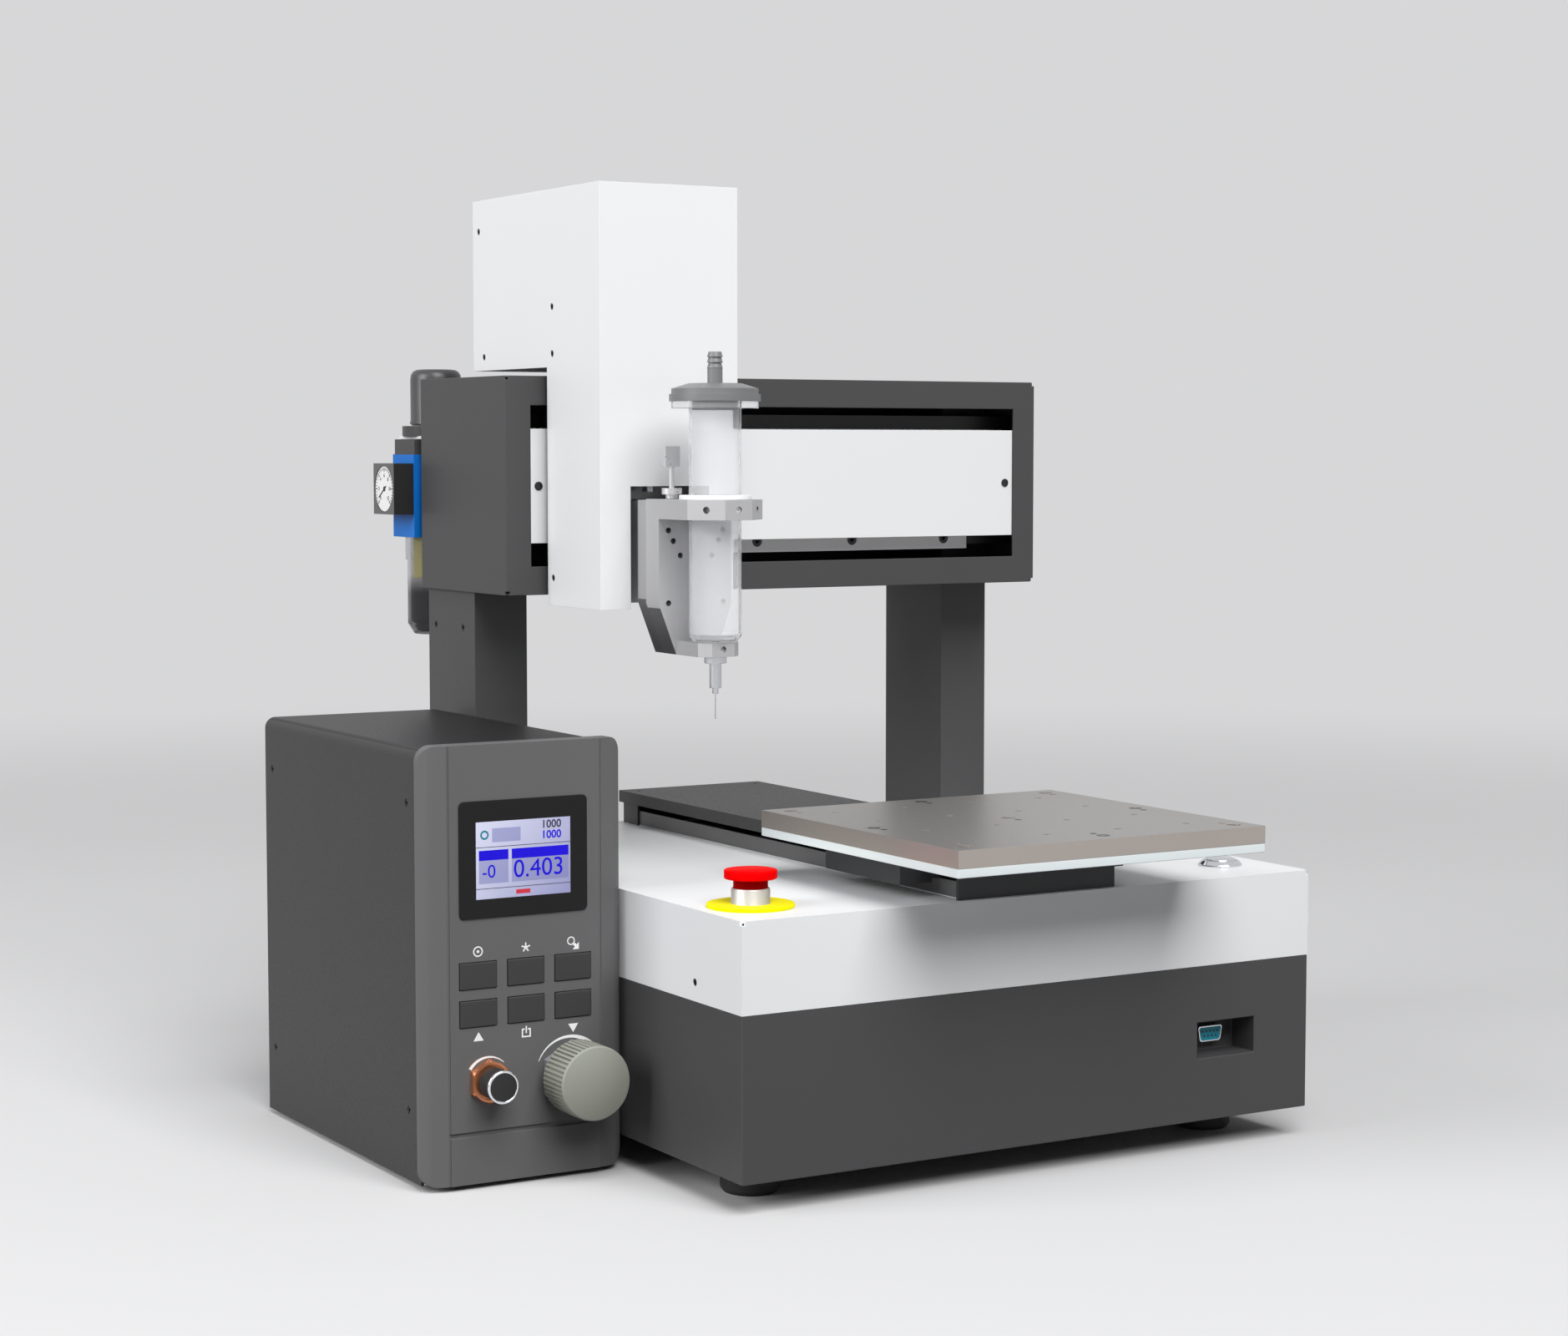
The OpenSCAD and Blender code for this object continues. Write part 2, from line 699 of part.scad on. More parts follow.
module base_electronics() color([0.05, 0.40, 0.48]) in_frame() {
    port_shell(0, [port_face, pocket_d + housing_t + port_tail]);
    translate([supply_x, supply_y, housing_t]) cube(supply_size);
    translate([board_x, board_y, housing_t]) {
        for (x = [board_post_d, board_size[0] - board_post_d],
             y = [board_post_d, board_size[1] - board_post_d])
            translate([x, y, 0]) cylinder(d = board_post_d, h = board_lift);
        translate([0, 0, board_lift]) cube(board_size);
    }
    difference() {
        slab(inlet_x, [base_d - inlet_len, base_d + inlet_proud], inlet_z);
        slab(grow(inlet_x, -inlet_wall), [base_d - inlet_depth, base_d + inlet_proud + past],
             grow(inlet_z, -inlet_wall));
    }
}

// Emergency stop
stop_stem_d = 16;
stop_ring_t = 2;
stop_collar_top = base_top + stop_ring_t + 8.6;
stop_head_low = stop_collar_top + stop_travel + 1;
stop_head_h = 5;
stop_stem_len = 13;
stop_stem_low = base_top - stop_stem_len;
stop_block = 22;
stop_block_h = 20;

module estop_base() color([0.95, 0.85, 0.05]) in_frame() difference() {
    union() {
        rod_z(stop_ring_d, [base_top, base_top + stop_ring_t], stop_x, stop_y);
        rod_z(stop_collar_d, [base_top, stop_collar_top], stop_x, stop_y);
        rod_z(stop_stem_d, [stop_stem_low, base_top], stop_x, stop_y);
        slab(grow([stop_x, stop_x], stop_block / 2), grow([stop_y, stop_y], stop_block / 2),
             [stop_stem_low - stop_block_h, stop_stem_low]);
    }
    rod_z(stop_neck_d + 2 * gap, [base_top + gap, stop_collar_top + past], stop_x, stop_y);
}

stop_pivot_d = 8;
stop_pivot_h = 3;

module estop_plunger() color([0.45, 0.02, 0.02]) in_frame() {
    rod_z(stop_neck_d, [base_top + stop_travel + 2 * gap, stop_head_low], stop_x, stop_y);
    rod_z(stop_pivot_d, [stop_head_low, stop_head_low + stop_pivot_h], stop_x, stop_y);
}

module estop_head() color([0.9, 0.02, 0.02]) in_frame()
    translate([stop_x, stop_y, stop_head_low]) difference() {
    rotate_extrude() polygon([[0, gap / 2], [stop_head_d / 2 - 1, gap / 2], [stop_head_d / 2, 1 + gap / 2],
                              [stop_head_d / 2, stop_head_h - 2], [stop_head_d / 2 - 1.5, stop_head_h - 0.8],
                              [stop_head_d / 4, stop_head_h], [0, stop_head_h]]);
    translate([0, 0, -past]) cylinder(d = stop_pivot_d + 2 * run_fit, h = stop_pivot_h + past + gap / 2);
}

// Start button
start_x = base_w - button_inset_x;
start_stem_d = 21.6;
start_stem_low = base_top - 25;
start_bezel_h = 3.4;
start_travel = 1.8;

module start_bezel() color([0.8, 0.8, 0.82]) in_frame()
    translate([start_x, button_inset_y, base_top]) difference() {
    union() {
        rotate_extrude() polygon([[0, 0], [start_bezel_d / 2, 0], [start_bezel_d / 2, 1],
                                  [start_button_d / 2 + 1.6, start_bezel_h], [0, start_bezel_h]]);
        translate([0, 0, start_stem_low - base_top])
            cylinder(d = start_stem_d, h = base_top - start_stem_low);
    }
    translate([0, 0, -4]) cylinder(d = start_button_d + 2 * gap, h = start_bezel_h + 4 + past);
}

module start_button() color([0.85, 0.85, 0.87]) in_frame() translate([start_x, button_inset_y, base_top])
    rotate_extrude() polygon([
        [0, start_travel + gap - 4], [start_button_d / 2, start_travel + gap - 4],
        [start_button_d / 2, start_bezel_h + 0.6], [start_button_d / 2 - 2, start_bezel_h + 1.6],
        [0, start_bezel_h + 2]]);

// Guides and drives of the X and Y axes
module guide_rails() color(steel) in_frame() {
    for (side = [-1, 1]) translate([mid_x + side * y_rail_half, rail_inset, chassis_top])
        rotate([0, 0, 90]) guide_rail(base_d - 2 * rail_inset);
    for (z = x_rail_z) translate([gantry_x[0] + rail_inset + 3, beam_y[0], z]) rotate([90, 0, 0])
        guide_rail(gantry_w - 2 * rail_inset - 6);
}

module drive_motors() color(black) in_frame() {
    translate([mid_x, y_drive_y, lower_h]) stepper();
    translate([x_drive_x, beam_y[1], belt_z]) rotate([90, 0, 0]) stepper();
}

module timing_belts() color(black) in_frame() {
    on_chassis(y_idler_y) rotate([0, 0, 90]) belt_loop(y_drive_y - y_idler_y);
    on_beam(x_idler_x) belt_loop(x_drive_x - x_idler_x);
}

module y_drive_pulley() color(satin) in_frame() on_chassis(y_drive_y) drive_pulley(chassis_t);

module y_idler_pulley() color(satin) in_frame() on_chassis(y_idler_y) idler_pulley();

module x_drive_pulley() color(satin) in_frame() on_beam(x_drive_x) drive_pulley(beam_d);

module x_idler_pulley() color(satin) in_frame() on_beam(x_idler_x) idler_pulley();

dust_screw_inset = 9;
dust_screw_d = 4;

module y_dust_cover() color(dark_grey) in_frame() difference() {
    union() {
        slab(dust_x, dust_y, [dust_top - dust_t, dust_top]);
        for (x = [[dust_x[0], dust_x[0] + dust_t], [dust_x[1] - dust_t, dust_x[1]]])
            slab(x, dust_y, [dust_low, dust_top]);
        slab(dust_x, [dust_y[0], dust_y[0] + dust_t], [base_top, dust_top]);
        slab(dust_x, [dust_y[1] - dust_t, dust_y[1]], [dust_low, dust_top]);
        leg_x = grow(dust_x, -dust_leg_inset);
        for (x = [[leg_x[0], leg_x[0] + dust_leg], [leg_x[1] - dust_leg, leg_x[1]]])
            slab(x, [dust_y[1] - dust_leg, dust_y[1]], [base_top, dust_top]);
    }
    for (x = grow(dust_x, -dust_screw_inset), y = grow(dust_y, -dust_screw_inset - 3))
        rod_z(dust_screw_d, [dust_top - dust_t - past, dust_top + past], x, y);
}

// Table and its carriage
saddle_base_t = 8;
saddle_base_z = [chassis_top + block_top, chassis_top + block_top + saddle_base_t];
saddle_neck_half = y_rail_half + 8;
y_block_len = 60;
clamp_len = 24;
clamp_w = 3.4;

module y_carriage() color([0.2, 0.2, 0.21]) in_frame() {
    for (side = [-1, 1])
        translate([mid_x + side * y_rail_half, saddle_y + (saddle_len - y_block_len) / 2, chassis_top])
        rotate([0, 0, 90]) guide_block(y_block_len);
    slab(grow([mid_x, mid_x], y_rail_half + block_w / 2), saddle_yy, saddle_base_z);
    slab(grow([mid_x, mid_x], saddle_neck_half), saddle_yy, [saddle_base_z[1], saddle_low]);
    slab(saddle_x, saddle_yy, [saddle_low, saddle_top]);
    for (x = [[saddle_x[0], saddle_x[0] + side_block_w], [saddle_x[1] - side_block_w, saddle_x[1]]])
        slab(x, saddle_yy, [side_block_low, table_low]);
    clamp_x = mid_x - belt_r - belt_t - gap;
    slab([clamp_x - clamp_w, clamp_x],
         grow([saddle_y + saddle_len / 2, saddle_y + saddle_len / 2], clamp_len / 2),
         [chassis_top + pulley_gap + 2, saddle_base_z[0]]);
}

table_xx = [mid_x - table_w / 2, mid_x + table_w / 2];
table_yy = [-table_overhang, table_d - table_overhang];
table_mid_y = (table_yy[0] + table_yy[1]) / 2;
corner_hole_x = table_w / 2 - locating_inset;
corner_hole_y = table_d / 2 - locating_inset;
corner_tap_step = [1, 9];

// A grid of tapped holes, and locating holes in the middle and the corners with a tapped hole by each corner
module fixture_holes(z) translate([mid_x, table_mid_y, 0]) {
    for (x = [-1.5 : 1 : 1.5], y = [-1.5 : 1 : 1.5])
        rod_z(fixture_d, z, x * fixture_pitch, y * fixture_pitch);
    rod_z(locating_d, z, 0, 0);
    for (x = [-1, 1], y = [-1, 1]) {
        rod_z(locating_d, z, x * corner_hole_x, y * corner_hole_y);
        rod_z(fixture_d, z, x * (corner_hole_x - corner_tap_step[0]),
              y * (corner_hole_y - corner_tap_step[1]));
    }
}

module table_lower_plate() color([0.86, 0.90, 0.91]) in_frame()
    slab(table_xx, table_yy, [table_low, table_mid]);

module table_top_plate() color([0.66, 0.64, 0.62]) in_frame() difference() {
    slab(table_xx, table_yy, [table_mid, table_top]);
    fixture_holes([table_mid - past, table_top + past]);
}

// Gantry
module gantry_cover() color(dark_grey) in_frame() difference() {
    slab(gantry_x, gantry_y, [gantry_low, gantry_top]);
    slab(grow(gantry_x, -gantry_t), [gantry_y[0] + gantry_t, gantry_y[1] + past],
         [gantry_low + gantry_t, gantry_top - gantry_t]);
    slab(window_x, [gantry_y[0] - past, gantry_y[0] + gantry_t + past], window_z);
    for (x = [left_column_x, right_column_x])
        slab(grow(x, gap), grow(column_y, gap), [gantry_low - past, gantry_low + gantry_t + past]);
    for (x = gantry_x, z = [gantry_low, gantry_top])
        slab(grow([x, x], corner_notch), grow([gantry_y[0], gantry_y[0]], corner_notch),
             grow([z, z], corner_notch));
}

module gantry_rear_panel() color(dark_grey) in_frame()
    slab(grow(gantry_x, -gantry_t - gap / 2), [gantry_y[1] - gantry_t, gantry_y[1]],
         grow([gantry_low, gantry_top], -gantry_t - gap / 2));

strip_screw_d = 7.2;
strip_screw_count = 4;

module gantry_beam() color(satin) in_frame() {
    difference() {
        union() {
            slab([left_column_x[0], right_column_x[1]], beam_y, beam_z);
            slab(strip_x, [beam_y[0] - strip_d, beam_y[1] - beam_t], strip_z);
        }
        slab([left_column_x[0] - past, right_column_x[1] + past], grow(beam_y, -beam_t),
             [beam_z[0] + 2 * beam_t, beam_z[1] - beam_t]);
        rod_y(motor_boss_d + 2 * gap, grow(beam_y, past), x_drive_x, belt_z);
        for (i = [0 : strip_screw_count - 1])
            rod_y(strip_screw_d, [beam_y[0] - strip_d - past, beam_y[0] - strip_d + 4],
                  strip_x[1] - 18.5 - i * strip_pitch, strip_z[0] + 7.2);
    }
    on_beam(x_idler_x) translate([0, 0, -pulley_gap]) idler_pin();
}

panel_screw_d = 4;
panel_screw_inset = 5.7;

module x_panel() color(white) in_frame() difference() {
    slab(grow(gantry_x, -gantry_t - panel_inset), panel_y, panel_z);
    for (x = grow(window_x, -panel_screw_inset))
        rod_y(panel_screw_d, grow(panel_y, past), x, (panel_z[0] + panel_z[1]) / 2);
}

// Head
x_block_len = 36;

module x_carriage() color(satin) in_frame() {
    slab(x_plate_x, carriage_y, [low_lip_z[0], high_lip_z[1]]);
    for (z = [low_lip_z, high_lip_z]) slab(x_plate_x, [frame_back, carriage_y[1]], z);
    for (z = x_rail_z, x = [x_plate_x[0] + 2, x_plate_x[1] - 2 - x_block_len])
        translate([x, beam_y[0], z]) rotate([90, 0, 0]) guide_block(x_block_len);
    clamp_z = belt_z + belt_r + belt_t + gap;
    slab(grow([head_x, head_x], clamp_len / 2), [carriage_y[1], beam_y[0] - block_lift],
         [clamp_z, clamp_z + 2]);
}

shelf_front = 14;
shelf_back = 36;

module head_frame() color(satin) in_frame() difference() {
    union() {
        slab(frame_x, [frame_front, frame_back], [head_low + 3.6, shelf_z[0]]);
        slab(frame_x, [screw_y - shelf_front, z_motor_y + shelf_back], shelf_z);
    }
    rod_z(screw_d + 2 * run_fit, grow(shelf_z, past), head_x, screw_y);
    rod_z(motor_boss_d + 2 * gap, grow(shelf_z, past), head_x, z_motor_y);
}

module head_profile(inset) polygon([
    [head_y[0] + inset, head_low - (inset > 0 ? past : 0)], [head_y[0] + inset, head_top - inset],
    [overhang_y - inset, head_top - inset], [overhang_y - inset, overhang_low + inset],
    [head_y[1] + (inset > 0 ? past : 0), overhang_low + inset],
    [head_y[1] + (inset > 0 ? past : 0), head_low - (inset > 0 ? past : 0)]]);

// The profile lies in YZ and is swept along X
module head_prism(inset) translate([head_xx[0] + inset, 0, 0]) rotate([90, 0, 90])
    linear_extrude(head_w - 2 * inset) head_profile(inset);

head_screw_d = 4.2;
head_screws = [[overhang_y - 8.5, head_top - 19.5], [overhang_y - 15.5, overhang_low + 8.5],
               [head_y[1] - 7, overhang_low + 36.6], [head_y[1] - 7, overhang_low + 8.2],
               [head_y[1] - 7, head_low + 16.8]];

module head_cover() color(white) in_frame() difference() {
    head_prism(0);
    head_prism(head_t);
    slab(opening_x, [head_y[0] - past, head_y[0] + head_t + past], [head_low - past, opening_top]);
    for (p = head_screws) rod_x(head_screw_d, grow(head_xx, past), p[0], p[1]);
}

z_block_len = 35;
z_block_foot = 11.6;
z_block_pitch = 42;
z_block_z = [head_low + z_block_foot, head_low + z_block_foot + z_block_pitch];

module z_guide_blocks() color(steel) in_frame() for (z = z_block_z)
    translate([head_x, slide_back, z]) rotate([90, -90, 180]) guide_block(z_block_len);

module z_motor() color(black) in_frame() translate([head_x, z_motor_y, shelf_z[0]]) stepper();

module on_shelf(y) translate([head_x, y, shelf_z[1] + pulley_gap]) children();

module z_belt() color(black) in_frame() on_shelf(screw_y) rotate([0, 0, 90]) belt_loop(z_motor_y - screw_y);

module z_motor_pulley() color(satin) in_frame() on_shelf(z_motor_y) drive_pulley(shelf_t);

module z_screw() color(steel) in_frame() {
    on_shelf(screw_y) pulley();
    on_shelf(screw_y) translate([0, 0, gap - pulley_gap]) cylinder(d = screw_d + 4, h = pulley_gap);
    rod_z(screw_d, [screw_low, shelf_z[1] + pulley_gap + pulley_h], head_x, screw_y);
    rod_z(screw_d + 5, [shelf_z[0] - 6, shelf_z[0] - gap], head_x, screw_y);
}

// Z slide with the plate that carries the bracket
arm_w = 44;
arm_z = [slide_z[0] + 3, bracket_top - 1.4];
slide_w = 50;

module bracket_outline(top) polygon([
    [-bracket_w / 2, top], [bracket_w / 2, top], [bracket_w / 2, bracket_low + slope_h],
    [bracket_w / 2 - slope_w, bracket_low], [slope_w - bracket_w / 2, bracket_low],
    [-bracket_w / 2, bracket_low + slope_h]]);

module bracket_plate(y, top) translate([head_x, y[1], 0]) rotate([90, 0, 0])
    linear_extrude(y[1] - y[0]) bracket_outline(top);

module z_slide() color(steel) in_frame() {
    slab(grow([head_x, head_x], slide_w / 2), [slide_front, slide_back], slide_z);
    translate([head_x, slide_back, slide_z[0]]) rotate([90, -90, 180]) guide_rail(slide_z[1] - slide_z[0]);
    slab(grow([head_x, head_x], arm_w / 2), [adapter_y[1], slide_front], arm_z);
    bracket_plate(adapter_y, bracket_top - 0.6);
    difference() {
        slab(grow([head_x, head_x], 14), [screw_y - 10, slide_front], [slide_z[1] - nut_h, slide_z[1]]);
        rod_z(screw_d + 2 * run_fit, [slide_z[1] - nut_h - past, slide_z[1] + past], head_x, screw_y);
    }
}

// Bracket: the back plate, the clamp arm with its cut corners, and the lower holder
module clamp_outline() polygon([
    [-bracket_w / 2, bracket_y[0]], [-bracket_w / 2, clamp_front + clamp_chamfer],
    [clamp_chamfer - bracket_w / 2, clamp_front], [bracket_w / 2 - clamp_chamfer, clamp_front],
    [bracket_w / 2, clamp_front + clamp_chamfer], [bracket_w / 2, bracket_y[0]]]);

holder_half = bracket_w / 2 - slope_w;
holder_front = syringe_y - 9.5;
bracket_hole_d = 3.4;
bracket_hole_len = 8;
bracket_holes = [[18.5, 18.4], [15.3, 24.6], [10.6, 33.2], [18.5, 61.2]];
set_hole_d = 4;
set_hole_len = 6;
holder_hole_len = 2.5;

module holder_outline() polygon([
    [-holder_half, bracket_y[0]], [-holder_half, holder_front + 6], [6 - holder_half, holder_front],
    [holder_half - 6, holder_front], [holder_half, holder_front + 6], [holder_half, bracket_y[0]]]);

module syringe_bracket() color(satin) in_frame() difference() {
    union() {
        bracket_plate(bracket_y, bracket_top);
        translate([head_x, 0, bracket_top - clamp_t]) linear_extrude(clamp_t) clamp_outline();
        translate([head_x, 0, bracket_low]) linear_extrude(holder_t) holder_outline();
    }
    rod_z(ring_sleeve_d, [bracket_top - clamp_t - past, bracket_top + past], head_x, syringe_y);
    rod_z(luer_d + 2 * gap, [bracket_low - past, holder_top + past], head_x, syringe_y);
    for (side = [-1, 1], p = bracket_holes)
        rod_y(bracket_hole_d, [bracket_y[0] - past, bracket_y[0] + bracket_hole_len],
              head_x + side * p[0], bracket_top - p[1]);
    clamp_mid_z = bracket_top - clamp_t / 2;
    rod_y(set_hole_d, [clamp_front - past, clamp_front + set_hole_len], head_x, clamp_mid_z);
    for (side = [-1, 1])
        translate([head_x + side * (bracket_w - clamp_chamfer) / 2, clamp_front + clamp_chamfer / 2,
                   clamp_mid_z])
        rotate([-90, 0, side * 45])
        translate([0, 0, -past]) cylinder(d = set_hole_d, h = set_hole_len + past);
    rod_y(set_hole_d, [holder_front - past, holder_front + holder_hole_len], head_x,
          bracket_low + holder_t / 2);
    rod_z(thumb_stem_d + 2 * run_fit, [bracket_top - 20, bracket_top + past], thumb_x, thumb_y);
}

module holder_ring() color(white) in_frame() difference() {
    union() {
        rod_z(ring_sleeve_d, [bracket_top - clamp_t, bracket_top], head_x, syringe_y);
        rod_z(ring_flange_d, [bracket_top, bracket_top + ring_flange_t], head_x, syringe_y);
    }
    rod_z(ring_bore_d, [bracket_top - clamp_t - past, bracket_top + ring_flange_t + past],
          head_x, syringe_y);
}

thumb_nut_z = [bracket_top + gap, bracket_top + 6.4];
thumb_head_z = [bracket_top + 19, bracket_top + 31];
thumb_head_w = 9.6;
thumb_head_t = 3;

module thumb_screw() color(steel) in_frame() {
    rod_z(thumb_stem_d, [bracket_top - 18, thumb_head_z[0] + past], thumb_x, thumb_y);
    rod_z(7.2, [thumb_nut_z[0], thumb_nut_z[0] + 2.4], thumb_x, thumb_y);
    rod_z(12, [thumb_nut_z[0] + 2.4, thumb_nut_z[1]], thumb_x, thumb_y);
    slab(grow([thumb_x, thumb_x], thumb_head_w / 2), grow([thumb_y, thumb_y], thumb_head_t / 2),
         thumb_head_z);
}

// Syringe
taper_h = 3.6;
taper_d = barrel_d - 6;

module barrel_body(d, low, high) translate([head_x, syringe_y, 0]) {
    translate([0, 0, low]) cylinder(d1 = d - 6, d2 = d, h = taper_h);
    translate([0, 0, low + taper_h]) cylinder(d = d, h = high - low - taper_h);
}

module syringe_barrel() color([0.9, 0.93, 0.96, 0.5]) in_frame() difference() {
    union() {
        barrel_body(barrel_d, holder_top, barrel_top);
        rod_z(barrel_flange_d, [barrel_top - barrel_flange_t, barrel_top], head_x, syringe_y);
        rod_z(luer_d, [bracket_low, holder_top + past], head_x, syringe_y);
    }
    barrel_body(barrel_d - 2 * barrel_t, holder_top + barrel_t, barrel_top + past);
    rod_z(3, [bracket_low - past, holder_top + taper_h], head_x, syringe_y);
}

cap_rim_h = 4.2;
cap_dome_h = 6.2;
barb_len = 18.4;
cap_plug_h = 5;

module syringe_cap() color([0.5, 0.5, 0.5]) in_frame()
    translate([head_x, syringe_y, barrel_top]) difference() {
    union() {
        translate([0, 0, -cap_plug_h]) cylinder(d = barrel_d - 2 * barrel_t - 2 * gap, h = cap_plug_h);
        rotate_extrude() polygon([
            [0, 0], [cap_d / 2, 0], [cap_d / 2, cap_rim_h], [cap_d / 2 - 1.3, cap_rim_h],
            [cap_d / 2 - 1.3, cap_rim_h + cap_dome_h - 3], [cap_d / 3.4, cap_rim_h + cap_dome_h],
            [0, cap_rim_h + cap_dome_h]]);
        translate([0, 0, cap_rim_h + cap_dome_h]) hose_barb();
    }
    translate([0, 0, -cap_plug_h - past])
        cylinder(d = 4, h = cap_plug_h + cap_rim_h + cap_dome_h + barb_len + 2 * past);
}

barb_ridges = 3;
barb_ridge_h = 3.2;

// The ridged tube for the air hose, thicker at the foot of each ridge
module hose_barb() {
    cylinder(d = barb_d - 0.4, h = barb_len - barb_ridges * barb_ridge_h);
    for (i = [1 : barb_ridges]) translate([0, 0, barb_len - i * barb_ridge_h])
        cylinder(d1 = barb_d, d2 = barb_d - 1.8, h = barb_ridge_h);
}

hub_d = 7.1;
hub_len = 14.6;
hub_tip_d = 3.6;
hub_tip_len = 3.3;

module dispensing_needle() color([0.75, 0.76, 0.78]) in_frame() {
    hub_low = bracket_low - hub_flange_t - hub_len;
    rod_z(hub_flange_d, [bracket_low - hub_flange_t, bracket_low], head_x, syringe_y);
    rod_z(hub_d, [hub_low, bracket_low - hub_flange_t], head_x, syringe_y);
    rod_z(hub_tip_d, [hub_low - hub_tip_len, hub_low], head_x, syringe_y);
    rod_z(needle_d, [hub_low - hub_tip_len - needle_len, hub_low], head_x, syringe_y);
}

// Filter regulator
frl_plate_half = 18;
frl_flange_h = 34;

module regulator_bracket() color(white) in_frame() difference() {
    union() {
        slab(grow([frl_x, frl_x], frl_plate_half), [gantry_y[1], frl_y + 19], frl_plate_z);
        slab(grow([frl_x, frl_x], frl_plate_half), [gantry_y[1], gantry_y[1] + frl_plate_t],
             [frl_plate_z[0] - frl_flange_h, frl_plate_z[1]]);
    }
    rod_z(frl_thread_d + gap, grow(frl_plate_z, past), frl_x, frl_y);
}

frl_port_d = 11.8;
frl_port_depth = 10;

module regulator_body() color([0.10, 0.45, 0.82]) in_frame() {
    difference() {
        union() {
            slab(frl_xx, frl_yy, [frl_low, frl_top]);
            slab(grow(frl_xx, -1), grow(frl_yy, -1), [frl_top, frl_plate_z[0]]);
            rod_z(frl_thread_d, [frl_top, frl_ring_top], frl_x, frl_y);
        }
        rod_z(frl_stem_d + 2 * run_fit, [frl_top - 4, frl_ring_top + past], frl_x, frl_y);
        rod_y(frl_port_d, [frl_yy[1] - frl_port_depth, frl_yy[1] + past], frl_x, frl_low + frl_h / 2);
    }
    difference() {
        rod_z(frl_ring_d, [frl_plate_z[1], frl_ring_top], frl_x, frl_y);
        rod_z(frl_thread_d + gap, [frl_plate_z[1] - past, frl_ring_top + past], frl_x, frl_y);
    }
}

module regulator_knob() color([0.2, 0.2, 0.2]) in_frame() translate([frl_x, frl_y, 0]) {
    translate([0, 0, frl_knob_z[0]]) rotate_extrude() polygon([
        [0, 0], [frl_knob_d / 2, 0], [frl_knob_d / 2, frl_knob_h - 3],
        [frl_knob_d / 2 - 3, frl_knob_h], [0, frl_knob_h]]);
    translate([0, 0, frl_top - 3]) cylinder(d = frl_stem_d, h = frl_knob_z[0] - frl_top + 4);
}

gauge_z = frl_low + 31.4;
gauge_dial_d = gauge_side - 3.5;

module pressure_gauge() color(black) in_frame() difference() {
    slab([frl_xx[0] - gauge_t, frl_xx[0]], grow([frl_y, frl_y], gauge_side / 2),
         grow([gauge_z, gauge_z], gauge_side / 2));
    rod_x(gauge_dial_d, [frl_xx[0] - gauge_t - past, frl_xx[0] - gauge_t + 0.8], frl_y, gauge_z);
}

bowl_collar_d = bowl_d + 2.4;
bowl_collar_h = 14.7;
bowl_t = 2;
bowl_low = frl_low - bowl_h;
bowl_round = 7;

// Outside or inside of the bowl, with a rounded foot
module bowl_form(d, low) translate([frl_x, frl_y, 0]) {
    translate([0, 0, low + bowl_round]) cylinder(d = d, h = frl_low - low - bowl_round);
    translate([0, 0, low]) cylinder(d1 = d - 1.2 * bowl_round, d2 = d, h = bowl_round);
}

module filter_bowl() color([0.75, 0.78, 0.78, 0.5]) in_frame() difference() {
    union() {
        bowl_form(bowl_d, bowl_low);
        rod_z(bowl_collar_d, [frl_low - bowl_collar_h, frl_low], frl_x, frl_y);
    }
    difference() {
        bowl_form(bowl_d - 2 * bowl_t, bowl_low + bowl_t);
        rod_z(bowl_collar_d, [frl_low, frl_low + past], frl_x, frl_y);
    }
}

element_d = 31;
element_h = 27;

module filter_element() color([0.85, 0.78, 0.35]) in_frame() difference() {
    rod_z(element_d, [frl_low - element_h, frl_low], frl_x, frl_y);
    rod_z(element_d - 8, [frl_low - element_h + 4, frl_low + past], frl_x, frl_y);
}

// Controller
module ctl_outline(inset) translate([ctl_mid, (ctl_low + ctl_top) / 2])
    round_rect(ctl_w - 2 * inset, ctl_h - 2 * inset, ctl_r - inset);

// Rounded at the top, square at the foot; the foot may go lower to cut the cover open
module cover_outline(inset, lower) {
    translate([ctl_mid, (ctl_low + ctl_top) / 2])
        round_rect(ctl_w - 2 * inset, ctl_h - 2 * inset, ctl_r - inset);
    translate([ctl_x[0] + inset, ctl_low - lower]) square([ctl_w - 2 * inset, ctl_h / 2]);
}

module along_y(y) translate([0, y[1], 0]) rotate([90, 0, 0]) linear_extrude(y[1] - y[0]) children();

ctl_screw_d = 4.4;
cover_inset = 2.5;

module controller_cover() color(dark_grey) in_frame() difference() {
    along_y([face_y[1], ctl_yy[1]]) difference() {
        cover_outline(cover_inset, 0);
        cover_outline(cover_inset + ctl_t, past);
    }
    for (y = [face_y[1] + 16.1, ctl_yy[1] - 11.8], z = [ctl_low + 40, ctl_top - 33.4])
        rod_x(ctl_screw_d, grow(ctl_x, past), y, z);
}

bevel_d = 6.9;
band_w = 10.75;
band_d = 3.1;
crease_w = 1.2;
crease_depth = 0.8;
groove_z = ctl_low + 27;
groove_h = 2.6;
groove_depth = 1.4;

function key_x(i) = ctl_mid + ((i - 1) % 3 - 1) * key_pitch_x;
function key_mid_z(i) = key_floor + (i <= 3 ? 0.5 : -0.5) * key_pitch_z;

